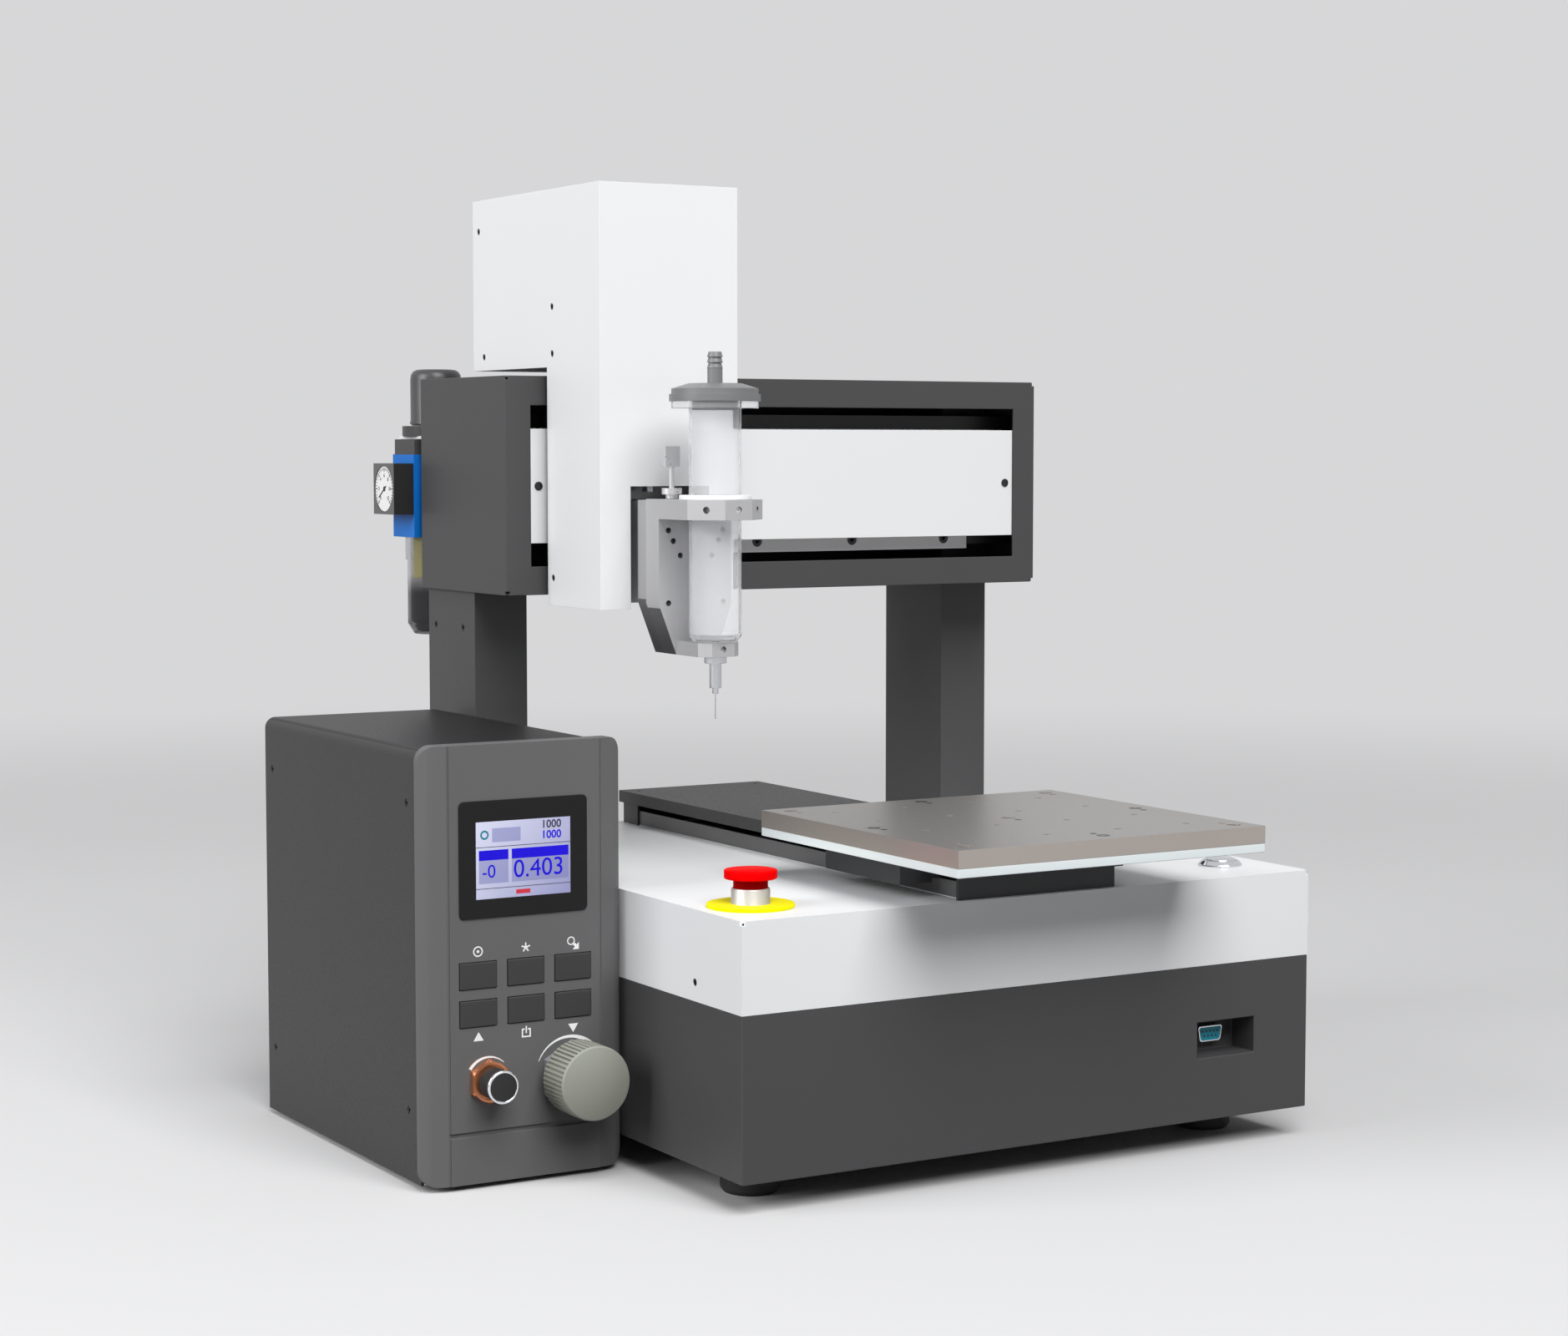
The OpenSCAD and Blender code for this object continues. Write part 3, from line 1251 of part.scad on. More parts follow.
module controller_panel() color([0.40, 0.40, 0.40]) in_frame() difference() {
    intersection() {
        along_y(face_y) ctl_outline(0);
        translate([ctl_mid, 0, ctl_low]) linear_extrude(ctl_h) polygon([
            [-flat_half, face_y[0]], [flat_half, face_y[0]], [flat_half + band_w, face_y[0] + band_d],
            [ctl_w / 2, face_y[0] + bevel_d], [ctl_w / 2, face_y[1]], [-ctl_w / 2, face_y[1]],
            [-ctl_w / 2, face_y[0] + bevel_d], [-flat_half - band_w, face_y[0] + band_d]]);
    }
    for (x = [ctl_mid - flat_half, ctl_mid + flat_half])
        slab(grow([x, x], crease_w / 2), [face_y[0] - past, face_y[0] + crease_depth],
             grow([ctl_low, ctl_top], past));
    translate([ctl_mid, 0, 0])
        slab([-flat_half + face_t, flat_half - face_t], [face_back, face_y[1] + past],
             grow([ctl_low, ctl_top], -ctl_r));
    slab(grow([ctl_mid, ctl_mid], flat_half), [face_y[0] - past, face_y[0] + groove_depth],
         [groove_z, groove_z + groove_h]);
    for (i = [1 : 6])
        slab(grow([key_x(i), key_x(i)], key_w / 2 + key_gap), [face_y[0] - past, face_back + past],
             grow([key_mid_z(i), key_mid_z(i)], key_h / 2 + key_gap));
    rod_y(bushing_d + gap, [face_y[0] - past, face_back + past], ctl_mid + timer_knob_x, knob_floor);
    rod_y(neck_d + gap, [face_y[0] - past, face_back + past], ctl_mid + press_knob_x, press_floor);
}

valve_size = [40, 90, 60];
hose_port_d = 6.1;
hose_port_len = 14;
hose_port_depth = 12;
hose_port_rise = 150;

// Floor and back of the controller with the valve block and the ports on the back
module controller_chassis() color([0.55, 0.55, 0.56]) in_frame() {
    inner_x = grow(ctl_x, -cover_inset - ctl_t - gap);
    slab(inner_x, [face_y[1] + gap, ctl_yy[1]], [ctl_low, ctl_low + 2]);
    along_y([ctl_yy[1] - 2, ctl_yy[1]]) cover_outline(cover_inset + ctl_t + gap, 0);
    translate([ctl_mid - valve_size[0] / 2, ctl_yy[1] - 2 - valve_size[1], ctl_low + 2]) cube(valve_size);
    for (x = [-22, 22]) difference() {
        rod_y(12, [ctl_yy[1] - past, ctl_yy[1] + hose_port_len], ctl_mid + x, ctl_low + hose_port_rise);
        rod_y(hose_port_d, [ctl_yy[1] + hose_port_len - hose_port_depth, ctl_yy[1] + hose_port_len + past],
              ctl_mid + x, ctl_low + hose_port_rise);
    }
}

core_len = 60;
core_h = 42;
core_half = flat_half - face_t - press_knob_x - gap;

// Pressure regulator behind the panel with its neck, and the small knob's bushing
module panel_regulator() color([0.62, 0.62, 0.66]) in_frame() {
    difference() {
        union() {
            rod_y(neck_d, [face_y[0] - neck_proud, face_back + gap], ctl_mid + press_knob_x, press_floor);
            slab(grow([ctl_mid + press_knob_x, ctl_mid + press_knob_x], core_half),
                 [face_back + gap, face_back + gap + core_len], grow([press_floor, press_floor], core_h / 2));
        }
        rod_y(press_shaft_d + 2 * run_fit, [face_y[0] - neck_proud - past, face_back + press_shaft_in + 1],
              ctl_mid + press_knob_x, press_floor);
    }
    difference() {
        union() {
            rod_y(bushing_d, [face_y[0] - bushing_proud, face_back + gap],
                  ctl_mid + timer_knob_x, knob_floor);
            rod_y(18, [face_back + gap, face_back + 14], ctl_mid + timer_knob_x, knob_floor);
        }
        rod_y(timer_shaft_d + 2 * run_fit, [face_y[0] - bushing_proud - past, face_back + 10],
              ctl_mid + timer_knob_x, knob_floor);
    }
}

display_t = 1;
display_x = -1.2;

module display_window() color(black) in_frame()
    translate([ctl_mid + display_x, face_y[0], display_floor]) rotate([90, 0, 0]) linear_extrude(display_t)
        round_rect(display_w, display_h, 3);

module key_cap(i) color([0.22, 0.22, 0.22]) in_frame() {
    x = [key_x(i), key_x(i)];
    z = [key_mid_z(i), key_mid_z(i)];
    slab(grow(x, key_w / 2), [face_y[0] - key_proud, face_back + gap], grow(z, key_h / 2));
    slab(grow(x, key_w / 2 + key_lip), [face_back + gap, face_back + gap + key_lip_t],
         grow(z, key_h / 2 + key_lip));
}

timer_knob_out = 20.5;
timer_knob_gap = 0.7;
timer_knob_y = [face_y[0] - timer_knob_out, face_y[0] - bushing_proud - timer_knob_gap];

module timer_knob() color(black) in_frame() {
    rod_y(timer_knob_d, timer_knob_y, ctl_mid + timer_knob_x, knob_floor);
    rod_y(timer_shaft_d, [timer_knob_y[1] - past, face_back + 9], ctl_mid + timer_knob_x, knob_floor);
}

press_shaft_in = 15;
press_knob_gap = 0.4;
press_knob_back = face_y[0] - neck_proud - press_knob_gap;
press_knob_y = [press_knob_back - press_knob_len, press_knob_back];

module pressure_knob() color([0.58, 0.59, 0.56]) in_frame() {
    rod_y(press_knob_d, press_knob_y, ctl_mid + press_knob_x, press_floor);
    rod_y(press_shaft_d, [press_knob_y[1] - past, face_back + press_shaft_in],
          ctl_mid + press_knob_x, press_floor);
}

lower_housing();
top_cover();
rubber_feet();
chassis_plate();
columns();
base_electronics();
estop_base();
estop_plunger();
estop_head();
start_bezel();
start_button();
guide_rails();
y_dust_cover();
drive_motors();
timing_belts();
y_drive_pulley();
y_idler_pulley();
y_carriage();
table_lower_plate();
table_top_plate();
gantry_cover();
gantry_rear_panel();
gantry_beam();
x_panel();
x_drive_pulley();
x_idler_pulley();
x_carriage();
head_frame();
head_cover();
z_guide_blocks();
z_motor();
z_belt();
z_motor_pulley();
z_screw();
z_slide();
syringe_bracket();
holder_ring();
thumb_screw();
syringe_barrel();
syringe_cap();
dispensing_needle();
regulator_bracket();
regulator_body();
regulator_knob();
pressure_gauge();
filter_bowl();
filter_element();
controller_cover();
controller_panel();
controller_chassis();
panel_regulator();
display_window();
key_cap(1);  // key_1
key_cap(2);  // key_2
key_cap(3);  // key_3
key_cap(4);  // key_4
key_cap(5);  // key_5
key_cap(6);  // key_6
timer_knob();
pressure_knob();
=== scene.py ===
import math
import bmesh
import bpy
from mathutils import Matrix, Vector


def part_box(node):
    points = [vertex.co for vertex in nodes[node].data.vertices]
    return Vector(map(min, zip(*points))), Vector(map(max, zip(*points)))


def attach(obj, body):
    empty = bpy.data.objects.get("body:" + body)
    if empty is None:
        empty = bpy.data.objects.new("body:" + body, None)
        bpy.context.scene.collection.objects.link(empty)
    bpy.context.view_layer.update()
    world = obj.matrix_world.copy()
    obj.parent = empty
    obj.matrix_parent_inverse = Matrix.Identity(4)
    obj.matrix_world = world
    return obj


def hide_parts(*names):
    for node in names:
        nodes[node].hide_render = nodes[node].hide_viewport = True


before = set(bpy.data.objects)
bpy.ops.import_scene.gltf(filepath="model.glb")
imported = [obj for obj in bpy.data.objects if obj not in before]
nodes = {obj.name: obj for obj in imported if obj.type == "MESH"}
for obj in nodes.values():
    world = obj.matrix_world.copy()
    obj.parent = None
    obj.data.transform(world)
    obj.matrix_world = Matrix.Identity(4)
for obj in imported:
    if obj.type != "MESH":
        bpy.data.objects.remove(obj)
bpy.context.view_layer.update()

# The robot's own frame is in millimetres from the base's front left lower corner, as in the part's source
MM = 0.001
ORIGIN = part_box("lower_housing")[0] / -MM
AXES = {"x": Vector((1, 0, 0)), "y": Vector((0, 1, 0)), "z": Vector((0, 0, 1)),
        "-x": Vector((-1, 0, 0)), "-y": Vector((0, -1, 0))}


def at(x, y, z):
    """A point of the robot's frame, in metres of the shared frame."""
    return (Vector((x, y, z)) - ORIGIN) * MM


def srgb(red, green, blue):
    """A colour given in display levels from 0 to 255, made linear."""
    def linear(value):
        value = value / 255.0
        return value / 12.92 if value <= 0.04045 else ((value + 0.055) / 1.055) ** 2.4
    return (linear(red), linear(green), linear(blue), 1.0)


def shade(colour, factor):
    """A colour made darker or lighter."""
    return tuple(min(1.0, part * factor) for part in colour[:3]) + (1.0,)


# Parts of materials: limits of noise, and shares by which tone and gloss change over a surface
NOISE_LOW = 0.3
NOISE_HIGH = 0.7
TONE_GRAIN = 14.0
STREAK_SHADE = 0.5
GLOSS_LOW = 0.88
GLOSS_HIGH = 1.14
CLEAR_TONE_GRAIN = 30.0
CLEAR_GLOSS_GRAIN = 90.0
CLEAR_TONE_SPREAD = 0.03
CLEAR_GLOSS_HIGH = 1.6
GLOW_GRAIN = 60.0
GLOW_SPREAD = 0.04
GLOW_ROUGH = 0.3
GLOW_GLOSS = 0.2


def new_material(name):
    """A material with its node tree and main shader."""
    mat = bpy.data.materials.new(name)
    mat.use_nodes = True
    tree = mat.node_tree
    return mat, tree, tree.nodes["Principled BSDF"]


def noise(tree, scale, stretch=(1, 1, 1), detail=3.0):
    """Noise over the object's own coordinates, stretched along some axes."""
    coords = tree.nodes.new("ShaderNodeTexCoord")
    mapping = tree.nodes.new("ShaderNodeMapping")
    mapping.inputs["Scale"].default_value = stretch
    texture = tree.nodes.new("ShaderNodeTexNoise")
    texture.inputs["Scale"].default_value = scale
    texture.inputs["Detail"].default_value = detail
    tree.links.new(coords.outputs["Object"], mapping.inputs["Vector"])
    tree.links.new(mapping.outputs["Vector"], texture.inputs["Vector"])
    return texture.outputs["Fac"]


def mix(tree, factor, low, high):
    """Two colours mixed by a factor; the low one may come from another node."""
    node = tree.nodes.new("ShaderNodeMix")
    node.data_type = "RGBA"
    node.inputs["B"].default_value = high
    if isinstance(low, tuple):
        node.inputs["A"].default_value = low
    else:
        tree.links.new(low, node.inputs["A"])
    tree.links.new(factor, node.inputs["Factor"])
    return node.outputs["Result"]


def level(tree, value, low, high):
    """A number between two levels, from noise."""
    node = tree.nodes.new("ShaderNodeMapRange")
    node.inputs["From Min"].default_value = NOISE_LOW
    node.inputs["From Max"].default_value = NOISE_HIGH
    node.inputs["To Min"].default_value = low
    node.inputs["To Max"].default_value = high
    tree.links.new(value, node.inputs["Value"])
    return node.outputs["Result"]


def along(tree, start, end):
    """A factor that goes from 0 at one point to 1 at another."""
    way = end - start
    coords = tree.nodes.new("ShaderNodeTexCoord")
    dot = tree.nodes.new("ShaderNodeVectorMath")
    dot.operation = "DOT_PRODUCT"
    dot.inputs[1].default_value = way
    fade = tree.nodes.new("ShaderNodeMapRange")
    fade.inputs["From Min"].default_value = start.dot(way)
    fade.inputs["From Max"].default_value = end.dot(way)
    tree.links.new(coords.outputs["Object"], dot.inputs[0])
    tree.links.new(dot.outputs["Value"], fade.inputs["Value"])
    return fade.outputs["Result"]


def past(output, axis, limit):
    """A picker for surface(): where the object's coordinate or normal goes past a limit along an axis."""
    def pick(tree):
        coords = tree.nodes.new("ShaderNodeTexCoord")
        parts = tree.nodes.new("ShaderNodeSeparateXYZ")
        test = tree.nodes.new("ShaderNodeMath")
        test.operation = "GREATER_THAN"
        test.inputs[1].default_value = limit
        tree.links.new(coords.outputs[output], parts.inputs["Vector"])
        tree.links.new(parts.outputs[axis], test.inputs[0])
        return test.outputs["Value"]
    return pick


def surface(name, colour, rough, metal=0.0, grain=600.0, spread=0.06, relief=0.00006, strength=0.2,
            stretch=(1, 1, 1), gloss=0.5, streak=0.0, other=None, pick=None):
    """Paint, plastic, rubber or metal with fine grain; pick says where the other colour goes."""
    mat, tree, shader = new_material(name)
    fine = noise(tree, grain, stretch)
    broad = noise(tree, TONE_GRAIN, detail=2.0)
    tone = mix(tree, broad, shade(colour, 1 - spread), shade(colour, 1 + spread))
    if streak:
        lines = level(tree, fine, 0.0, streak)
        tone = mix(tree, lines, tone, shade(colour, STREAK_SHADE))
    if pick:
        tone = mix(tree, pick(tree), tone, other)
    tree.links.new(tone, shader.inputs["Base Color"])
    roughness = level(tree, fine, rough * GLOSS_LOW, min(1.0, rough * GLOSS_HIGH))
    tree.links.new(roughness, shader.inputs["Roughness"])
    shader.inputs["Metallic"].default_value = metal
    shader.inputs["Specular IOR Level"].default_value = gloss
    relief_node = tree.nodes.new("ShaderNodeBump")
    relief_node.inputs["Strength"].default_value = strength
    relief_node.inputs["Distance"].default_value = relief
    tree.links.new(fine, relief_node.inputs["Height"])
    tree.links.new(relief_node.outputs["Normal"], shader.inputs["Normal"])
    return mat


def clear(name, colour, rough, ior, weight, start=None, end=None, far=None):
    """A clear moulding, milky by what its transmission leaves; its tint may change between two points."""
    mat, tree, shader = new_material(name)
    uneven = noise(tree, CLEAR_TONE_GRAIN)
    tone = mix(tree, uneven, shade(colour, 1 - CLEAR_TONE_SPREAD), shade(colour, 1 + CLEAR_TONE_SPREAD))
    if far:
        tone = mix(tree, along(tree, start, end), tone, far)
    tree.links.new(tone, shader.inputs["Base Color"])
    shader.inputs["Transmission Weight"].default_value = weight
    shader.inputs["IOR"].default_value = ior
    roughness = level(tree, noise(tree, CLEAR_GLOSS_GRAIN), rough, rough * CLEAR_GLOSS_HIGH)
    tree.links.new(roughness, shader.inputs["Roughness"])
    return mat


def glowing(name, colour, strength, start=None, end=None, far=None):
    """A lit part of the display, slightly uneven, or changing to a far colour between two points."""
    mat, tree, shader = new_material(name)
    uneven = noise(tree, GLOW_GRAIN)
    tone = mix(tree, uneven, shade(colour, 1 - GLOW_SPREAD), shade(colour, 1 + GLOW_SPREAD))
    if far:
        tone = mix(tree, along(tree, start, end), tone, far)
    tree.links.new(tone, shader.inputs["Base Color"])
    tree.links.new(tone, shader.inputs["Emission Color"])
    shader.inputs["Emission Strength"].default_value = strength
    shader.inputs["Roughness"].default_value = GLOW_ROUGH
    shader.inputs["Specular IOR Level"].default_value = GLOW_GLOSS
    return mat


# Materials, and the places where some of them change colour; several of these colours are painted shade or a
# painted reflection
# Top faces; the dust cover's paint puts a painted shade there, the controller's paint a painted reflection
TOP_FACE = past("Normal", "Z", 0.8)
# Faces that do not look downward; on the bracket and the slide the faces that look downward get a painted
# shade
NOT_UNDERSIDE = past("Normal", "Z", -0.12)
# The top cover's rim above its top face, where it gets a painted shade
SHADED_SLOT_RIM = past("Object", "Z", at(0, 0, 143.4).z)
# The beam behind its front strip, where it gets a painted shade
SHADED_BEAM_BACK = past("Object", "Y", at(0, 306.0, 0).y)
ABOVE_BLUE = past("Object", "Z", at(0, 0, 390.3).z)
BEHIND_GAUGE_FACE = past("Object", "X", at(-17.3, 0, 0).x)
BEHIND_PORT = past("Object", "Y", at(0, 60.0, 0).y)
BOWL_CLEAR = at(20.0, 438.0, 312.0)
BOWL_DARK = at(20.0, 438.0, 300.0)
SCREEN_TOP_LEFT = at(-94.3, 131.3, 188.0)
SCREEN_LOW_RIGHT = at(-36.2, 131.3, 144.9)

grey_paint = surface("grey_paint", srgb(72, 72, 73), 0.46, grain=900.0, spread=0.03, strength=0.28,
                     gloss=0.25)
# Dust cover paint: its top faces take a much darker colour, a painted shade
cover_paint = surface("cover_paint", srgb(70, 70, 71), 0.42, grain=900.0, spread=0.03, strength=0.25,
                      gloss=0.2, other=srgb(38, 38, 39), pick=TOP_FACE)
# Controller paint: its top faces take a much darker colour, a painted reflection of the dark column and
# gantry in the glossy top
controller_paint = surface("controller_paint", srgb(55, 55, 56), 0.42, grain=900.0, spread=0.03,
                           strength=0.25, gloss=0.2, other=srgb(30, 30, 31), pick=TOP_FACE)
white_paint = surface("white_paint", srgb(236, 237, 238), 0.4, grain=900.0, spread=0.01, strength=0.12)
# Top cover paint: the slot rim under the dust cover is painted dark grey, a painted shade
top_paint = surface("top_paint", srgb(236, 237, 238), 0.4, grain=900.0, spread=0.01, strength=0.12,
                    other=srgb(104, 104, 105), pick=SHADED_SLOT_RIM)
panel_paint = surface("panel_paint", srgb(232, 233, 234), 0.4, grain=900.0, spread=0.01, strength=0.12,
                      gloss=0.4)
regulator_paint = surface("regulator_paint", srgb(14, 112, 204), 0.42, grain=700.0, spread=0.03, gloss=0.2,
                          other=srgb(72, 72, 73), pick=ABOVE_BLUE)

satin_aluminium = surface("satin_aluminium", srgb(198, 198, 200), 0.38, metal=1.0, grain=260.0,
                          stretch=(12, 12, 1), relief=0.00003)
# Bracket aluminium: dark on faces that look downward, a painted shade; its other faces have the light
# brushed tone
bracket_aluminium = surface("bracket_aluminium", srgb(104, 104, 106), 0.42, metal=0.75, grain=160.0,
                            stretch=(9, 9, 0.5), relief=0.00003, streak=0.25, other=srgb(190, 190, 191),
                            pick=NOT_UNDERSIDE)
# Slide steel: dark on faces that look downward, a painted shade; its other faces have the light tone
slide_steel = surface("slide_steel", srgb(100, 100, 102), 0.4, metal=0.75, grain=240.0, stretch=(10, 10, 1),
                      relief=0.00002, streak=0.2, other=srgb(176, 176, 177), pick=NOT_UNDERSIDE)
dark_aluminium = surface("dark_aluminium", srgb(62, 62, 64), 0.45, metal=0.3, grain=900.0, gloss=0.4)
pale_aluminium = surface("pale_aluminium", srgb(231, 239, 241), 0.42, metal=0.1, grain=900.0, spread=0.02)
table_aluminium = surface("table_aluminium", srgb(177, 169, 163), 0.33, metal=0.6, grain=420.0,
                          stretch=(1, 9, 1), spread=0.05, relief=0.00004, other=srgb(152, 150, 147),
                          pick=TOP_FACE)
# Beam aluminium: pale in front, nearly black behind the front strip, a painted shade inside the gantry
beam_aluminium = surface("beam_aluminium", srgb(240, 240, 241), 0.42, metal=0.15, grain=260.0,
                         stretch=(1, 9, 9), relief=0.00003, other=srgb(34, 34, 35), pick=SHADED_BEAM_BACK)
rail_steel = surface("rail_steel", srgb(188, 190, 194), 0.28, metal=1.0, grain=500.0)
screw_steel = surface("screw_steel", srgb(52, 52, 54), 0.35, metal=0.6, grain=900.0)
bright_steel = surface("bright_steel", srgb(206, 207, 210), 0.24, metal=1.0, grain=500.0)
thumb_steel = surface("thumb_steel", srgb(206, 206, 207), 0.3, metal=0.6, grain=500.0)
stop_metal = surface("stop_metal", srgb(200, 199, 197), 0.42, metal=0.5, grain=500.0)
chrome = surface("chrome", srgb(226, 227, 230), 0.1, metal=1.0, grain=200.0, relief=0.00001)
copper = surface("copper", srgb(204, 132, 92), 0.34, metal=0.75, grain=600.0, spread=0.1)

black_rubber = surface("black_rubber", srgb(34, 34, 34), 0.7, grain=1200.0)
black_plastic = surface("black_plastic", srgb(38, 38, 39), 0.45, grain=1400.0, gloss=0.35)
panel_plastic = surface("panel_plastic", srgb(97, 97, 98), 0.5, grain=1100.0, spread=0.03, strength=0.25,
                        gloss=0.35)
key_plastic = surface("key_plastic", srgb(58, 58, 59), 0.55, grain=1500.0, gloss=0.3)
red_plastic = surface("red_plastic", srgb(236, 0, 2), 0.5, grain=300.0, spread=0.02, strength=0.05,
                      gloss=0.02)
dark_red_plastic = surface("dark_red_plastic", srgb(140, 0, 2), 0.5, grain=700.0, gloss=0.02)
yellow_plastic = surface("yellow_plastic", srgb(238, 230, 4), 0.5, grain=700.0, spread=0.02, strength=0.1,
                         gloss=0.03)
white_plastic = surface("white_plastic", srgb(236, 237, 238), 0.42, grain=900.0, spread=0.01)
grey_plastic = surface("grey_plastic", srgb(118, 119, 120), 0.42, grain=900.0, spread=0.04)
knob_plastic = surface("knob_plastic", srgb(148, 150, 140), 0.55, grain=1100.0, spread=0.03, gloss=0.35)
collar_plastic = surface("collar_plastic", srgb(132, 132, 138), 0.45, grain=900.0)
smoke_plastic = surface("smoke_plastic", srgb(66, 66, 68), 0.35, grain=800.0)
gauge_plastic = surface("gauge_plastic", srgb(92, 92, 93), 0.4, grain=900.0, gloss=0.4,
                        other=srgb(36, 36, 37), pick=BEHIND_GAUGE_FACE)
teal_plastic = surface("teal_plastic", srgb(0, 160, 186), 0.4, grain=900.0, other=srgb(32, 32, 33),
                       pick=BEHIND_PORT)
element_plastic = surface("element_plastic", srgb(196, 184, 104), 0.5, grain=700.0)
white_print = surface("white_print", srgb(244, 244, 244), 0.55, grain=1500.0, spread=0.01)
black_print = surface("black_print", srgb(30, 30, 30), 0.55, grain=1500.0)
display_gloss = surface("display_gloss", srgb(30, 30, 31), 0.32, grain=400.0, spread=0.02, relief=0.00001,
                        gloss=0.15)

clear_plastic = clear("clear_plastic", (0.97, 0.98, 1.0, 1.0), 0.03, 1.12, 0.8)
bowl_plastic = clear("bowl_plastic", (0.64, 0.64, 0.65, 1.0), 0.05, 1.2, 0.96, BOWL_CLEAR, BOWL_DARK,
                     (0.2, 0.2, 0.21, 1.0))
screen_ground = glowing("screen_ground", srgb(214, 216, 238), 0.12, SCREEN_TOP_LEFT, SCREEN_LOW_RIGHT,
                        srgb(146, 147, 190))
screen_field = glowing("screen_field", srgb(166, 168, 208), 0.1, SCREEN_TOP_LEFT, SCREEN_LOW_RIGHT,
                       srgb(132, 134, 184))
screen_blue = glowing("screen_blue", srgb(26, 8, 204), 0.2)
screen_dark = glowing("screen_dark", srgb(62, 60, 88), 0.05)
screen_red = glowing("screen_red", srgb(196, 50, 66), 0.2)
screen_teal = glowing("screen_teal", srgb(30, 120, 140), 0.15)


# Looks of the nodes
EDGE_ANGLE = math.radians(38)
FLAT_ANGLE = math.radians(0.3)
WELD_REACH = 0.000002


def dress(name, mat, edge=0.0):
    """Gives a node its material and, where an edge width is given, small rounded edges."""
    obj = nodes[name]
    obj.data.materials.clear()
    obj.data.materials.append(mat)
    if edge:
        obj.modifiers.new("weld", "WELD").merge_threshold = WELD_REACH
        flat = obj.modifiers.new("flat", "DECIMATE")
        flat.decimate_type = "DISSOLVE"
        flat.angle_limit = FLAT_ANGLE
        bevel = obj.modifiers.new("edges", "BEVEL")
        bevel.width = edge * MM
        bevel.segments = 2
        bevel.limit_method = "ANGLE"
        bevel.angle_limit = EDGE_ANGLE
        bevel.use_clamp_overlap = True
        obj.modifiers.new("normals", "WEIGHTED_NORMAL").weight = 100


# Node, material, width of the rounded edge in millimetres, or 0 for a plain edge
DRESSED = [
    ("lower_housing", grey_paint, 0.8), ("top_cover", top_paint, 0.9), ("rubber_feet", black_rubber, 0.8),
    ("chassis_plate", satin_aluminium, 0), ("columns", grey_paint, 0.7),
    ("base_electronics", teal_plastic, 0.3), ("estop_base", yellow_plastic, 0),
    ("estop_plunger", dark_red_plastic, 0.4), ("estop_head", red_plastic, 0),
    ("start_bezel", chrome, 0.4), ("start_button", chrome, 0.5), ("guide_rails", rail_steel, 0.3),
    ("y_dust_cover", cover_paint, 0.7), ("drive_motors", black_plastic, 0.5),
    ("timing_belts", black_rubber, 0), ("y_drive_pulley", satin_aluminium, 0),
    ("y_idler_pulley", satin_aluminium, 0), ("y_carriage", dark_aluminium, 0.6),
    ("table_lower_plate", pale_aluminium, 0.4), ("table_top_plate", table_aluminium, 0.4),
    ("gantry_cover", grey_paint, 1.0), ("gantry_rear_panel", grey_paint, 0.4),
    ("gantry_beam", beam_aluminium, 0.5), ("x_panel", panel_paint, 0.5),
    ("x_drive_pulley", satin_aluminium, 0), ("x_idler_pulley", satin_aluminium, 0),
    ("x_carriage", dark_aluminium, 0.4), ("head_frame", satin_aluminium, 0.3),
    ("head_cover", white_paint, 0.6), ("z_guide_blocks", rail_steel, 0.3), ("z_motor", black_plastic, 0.5),
    ("z_belt", black_rubber, 0), ("z_motor_pulley", satin_aluminium, 0), ("z_screw", rail_steel, 0),
    ("z_slide", slide_steel, 0.5), ("syringe_bracket", bracket_aluminium, 0.6),
    ("holder_ring", white_plastic, 0.4), ("thumb_screw", thumb_steel, 0.4),
    ("syringe_barrel", clear_plastic, 0.4), ("syringe_cap", grey_plastic, 0.5),
    ("dispensing_needle", bright_steel, 0.2), ("regulator_bracket", white_paint, 0.4),
    ("regulator_body", regulator_paint, 0.7), ("regulator_knob", smoke_plastic, 0),
    ("pressure_gauge", gauge_plastic, 0.5), ("filter_bowl", bowl_plastic, 1.6),
    ("filter_element", element_plastic, 0.6), ("controller_cover", controller_paint, 0.6),
    ("controller_panel", panel_plastic, 1.2), ("controller_chassis", satin_aluminium, 0.5),
    ("panel_regulator", collar_plastic, 0.4), ("display_window", display_gloss, 0.4),
    ("timer_knob", black_plastic, 0), ("pressure_knob", knob_plastic, 0)]
DRESSED += [("key_%d" % number, key_plastic, 0.6) for number in range(1, 7)]
for dressed_node in DRESSED:
    dress(*dressed_node)


# Tools for new pieces: points around a turned one, and a screw head's shape in shares of its own size
ROUND_STEPS = 72
FINE_STEPS = 96
SCREW_STEPS = 24
SCREW_SIDE = 0.85
SCREW_FACE = 0.93
SCREW_FLOOR = 0.35
SCREW_SMOOTH = 35
FIGURE_DEPTH = 0.02


def add_piece(name, mesh, mat, body, smooth_angle=None):
    """Puts a finished mesh into the scene, on its body, with its material."""
    obj = bpy.data.objects.new(name, mesh)
    bpy.context.scene.collection.objects.link(obj)
    mesh.materials.append(mat)
    if smooth_angle is not None:
        mesh.shade_smooth()
        mesh.set_sharp_from_angle(angle=math.radians(smooth_angle))
    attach(obj, body)
    return obj


def turn_to(axis):
    """The turn that takes +Z to the given axis; across a horizontal axis the outline stays upright."""
    if axis == "z":
        return Matrix.Identity(3)
    up = AXES["z"]
    return Matrix((up.cross(AXES[axis]), up, AXES[axis])).transposed()


def bm_band(bm, low, high):
    """Faces between two rings of as many points."""
    for k in range(len(low)):
        j = (k + 1) % len(low)
        bm.faces.new((low[k], low[j], high[j], high[k]))


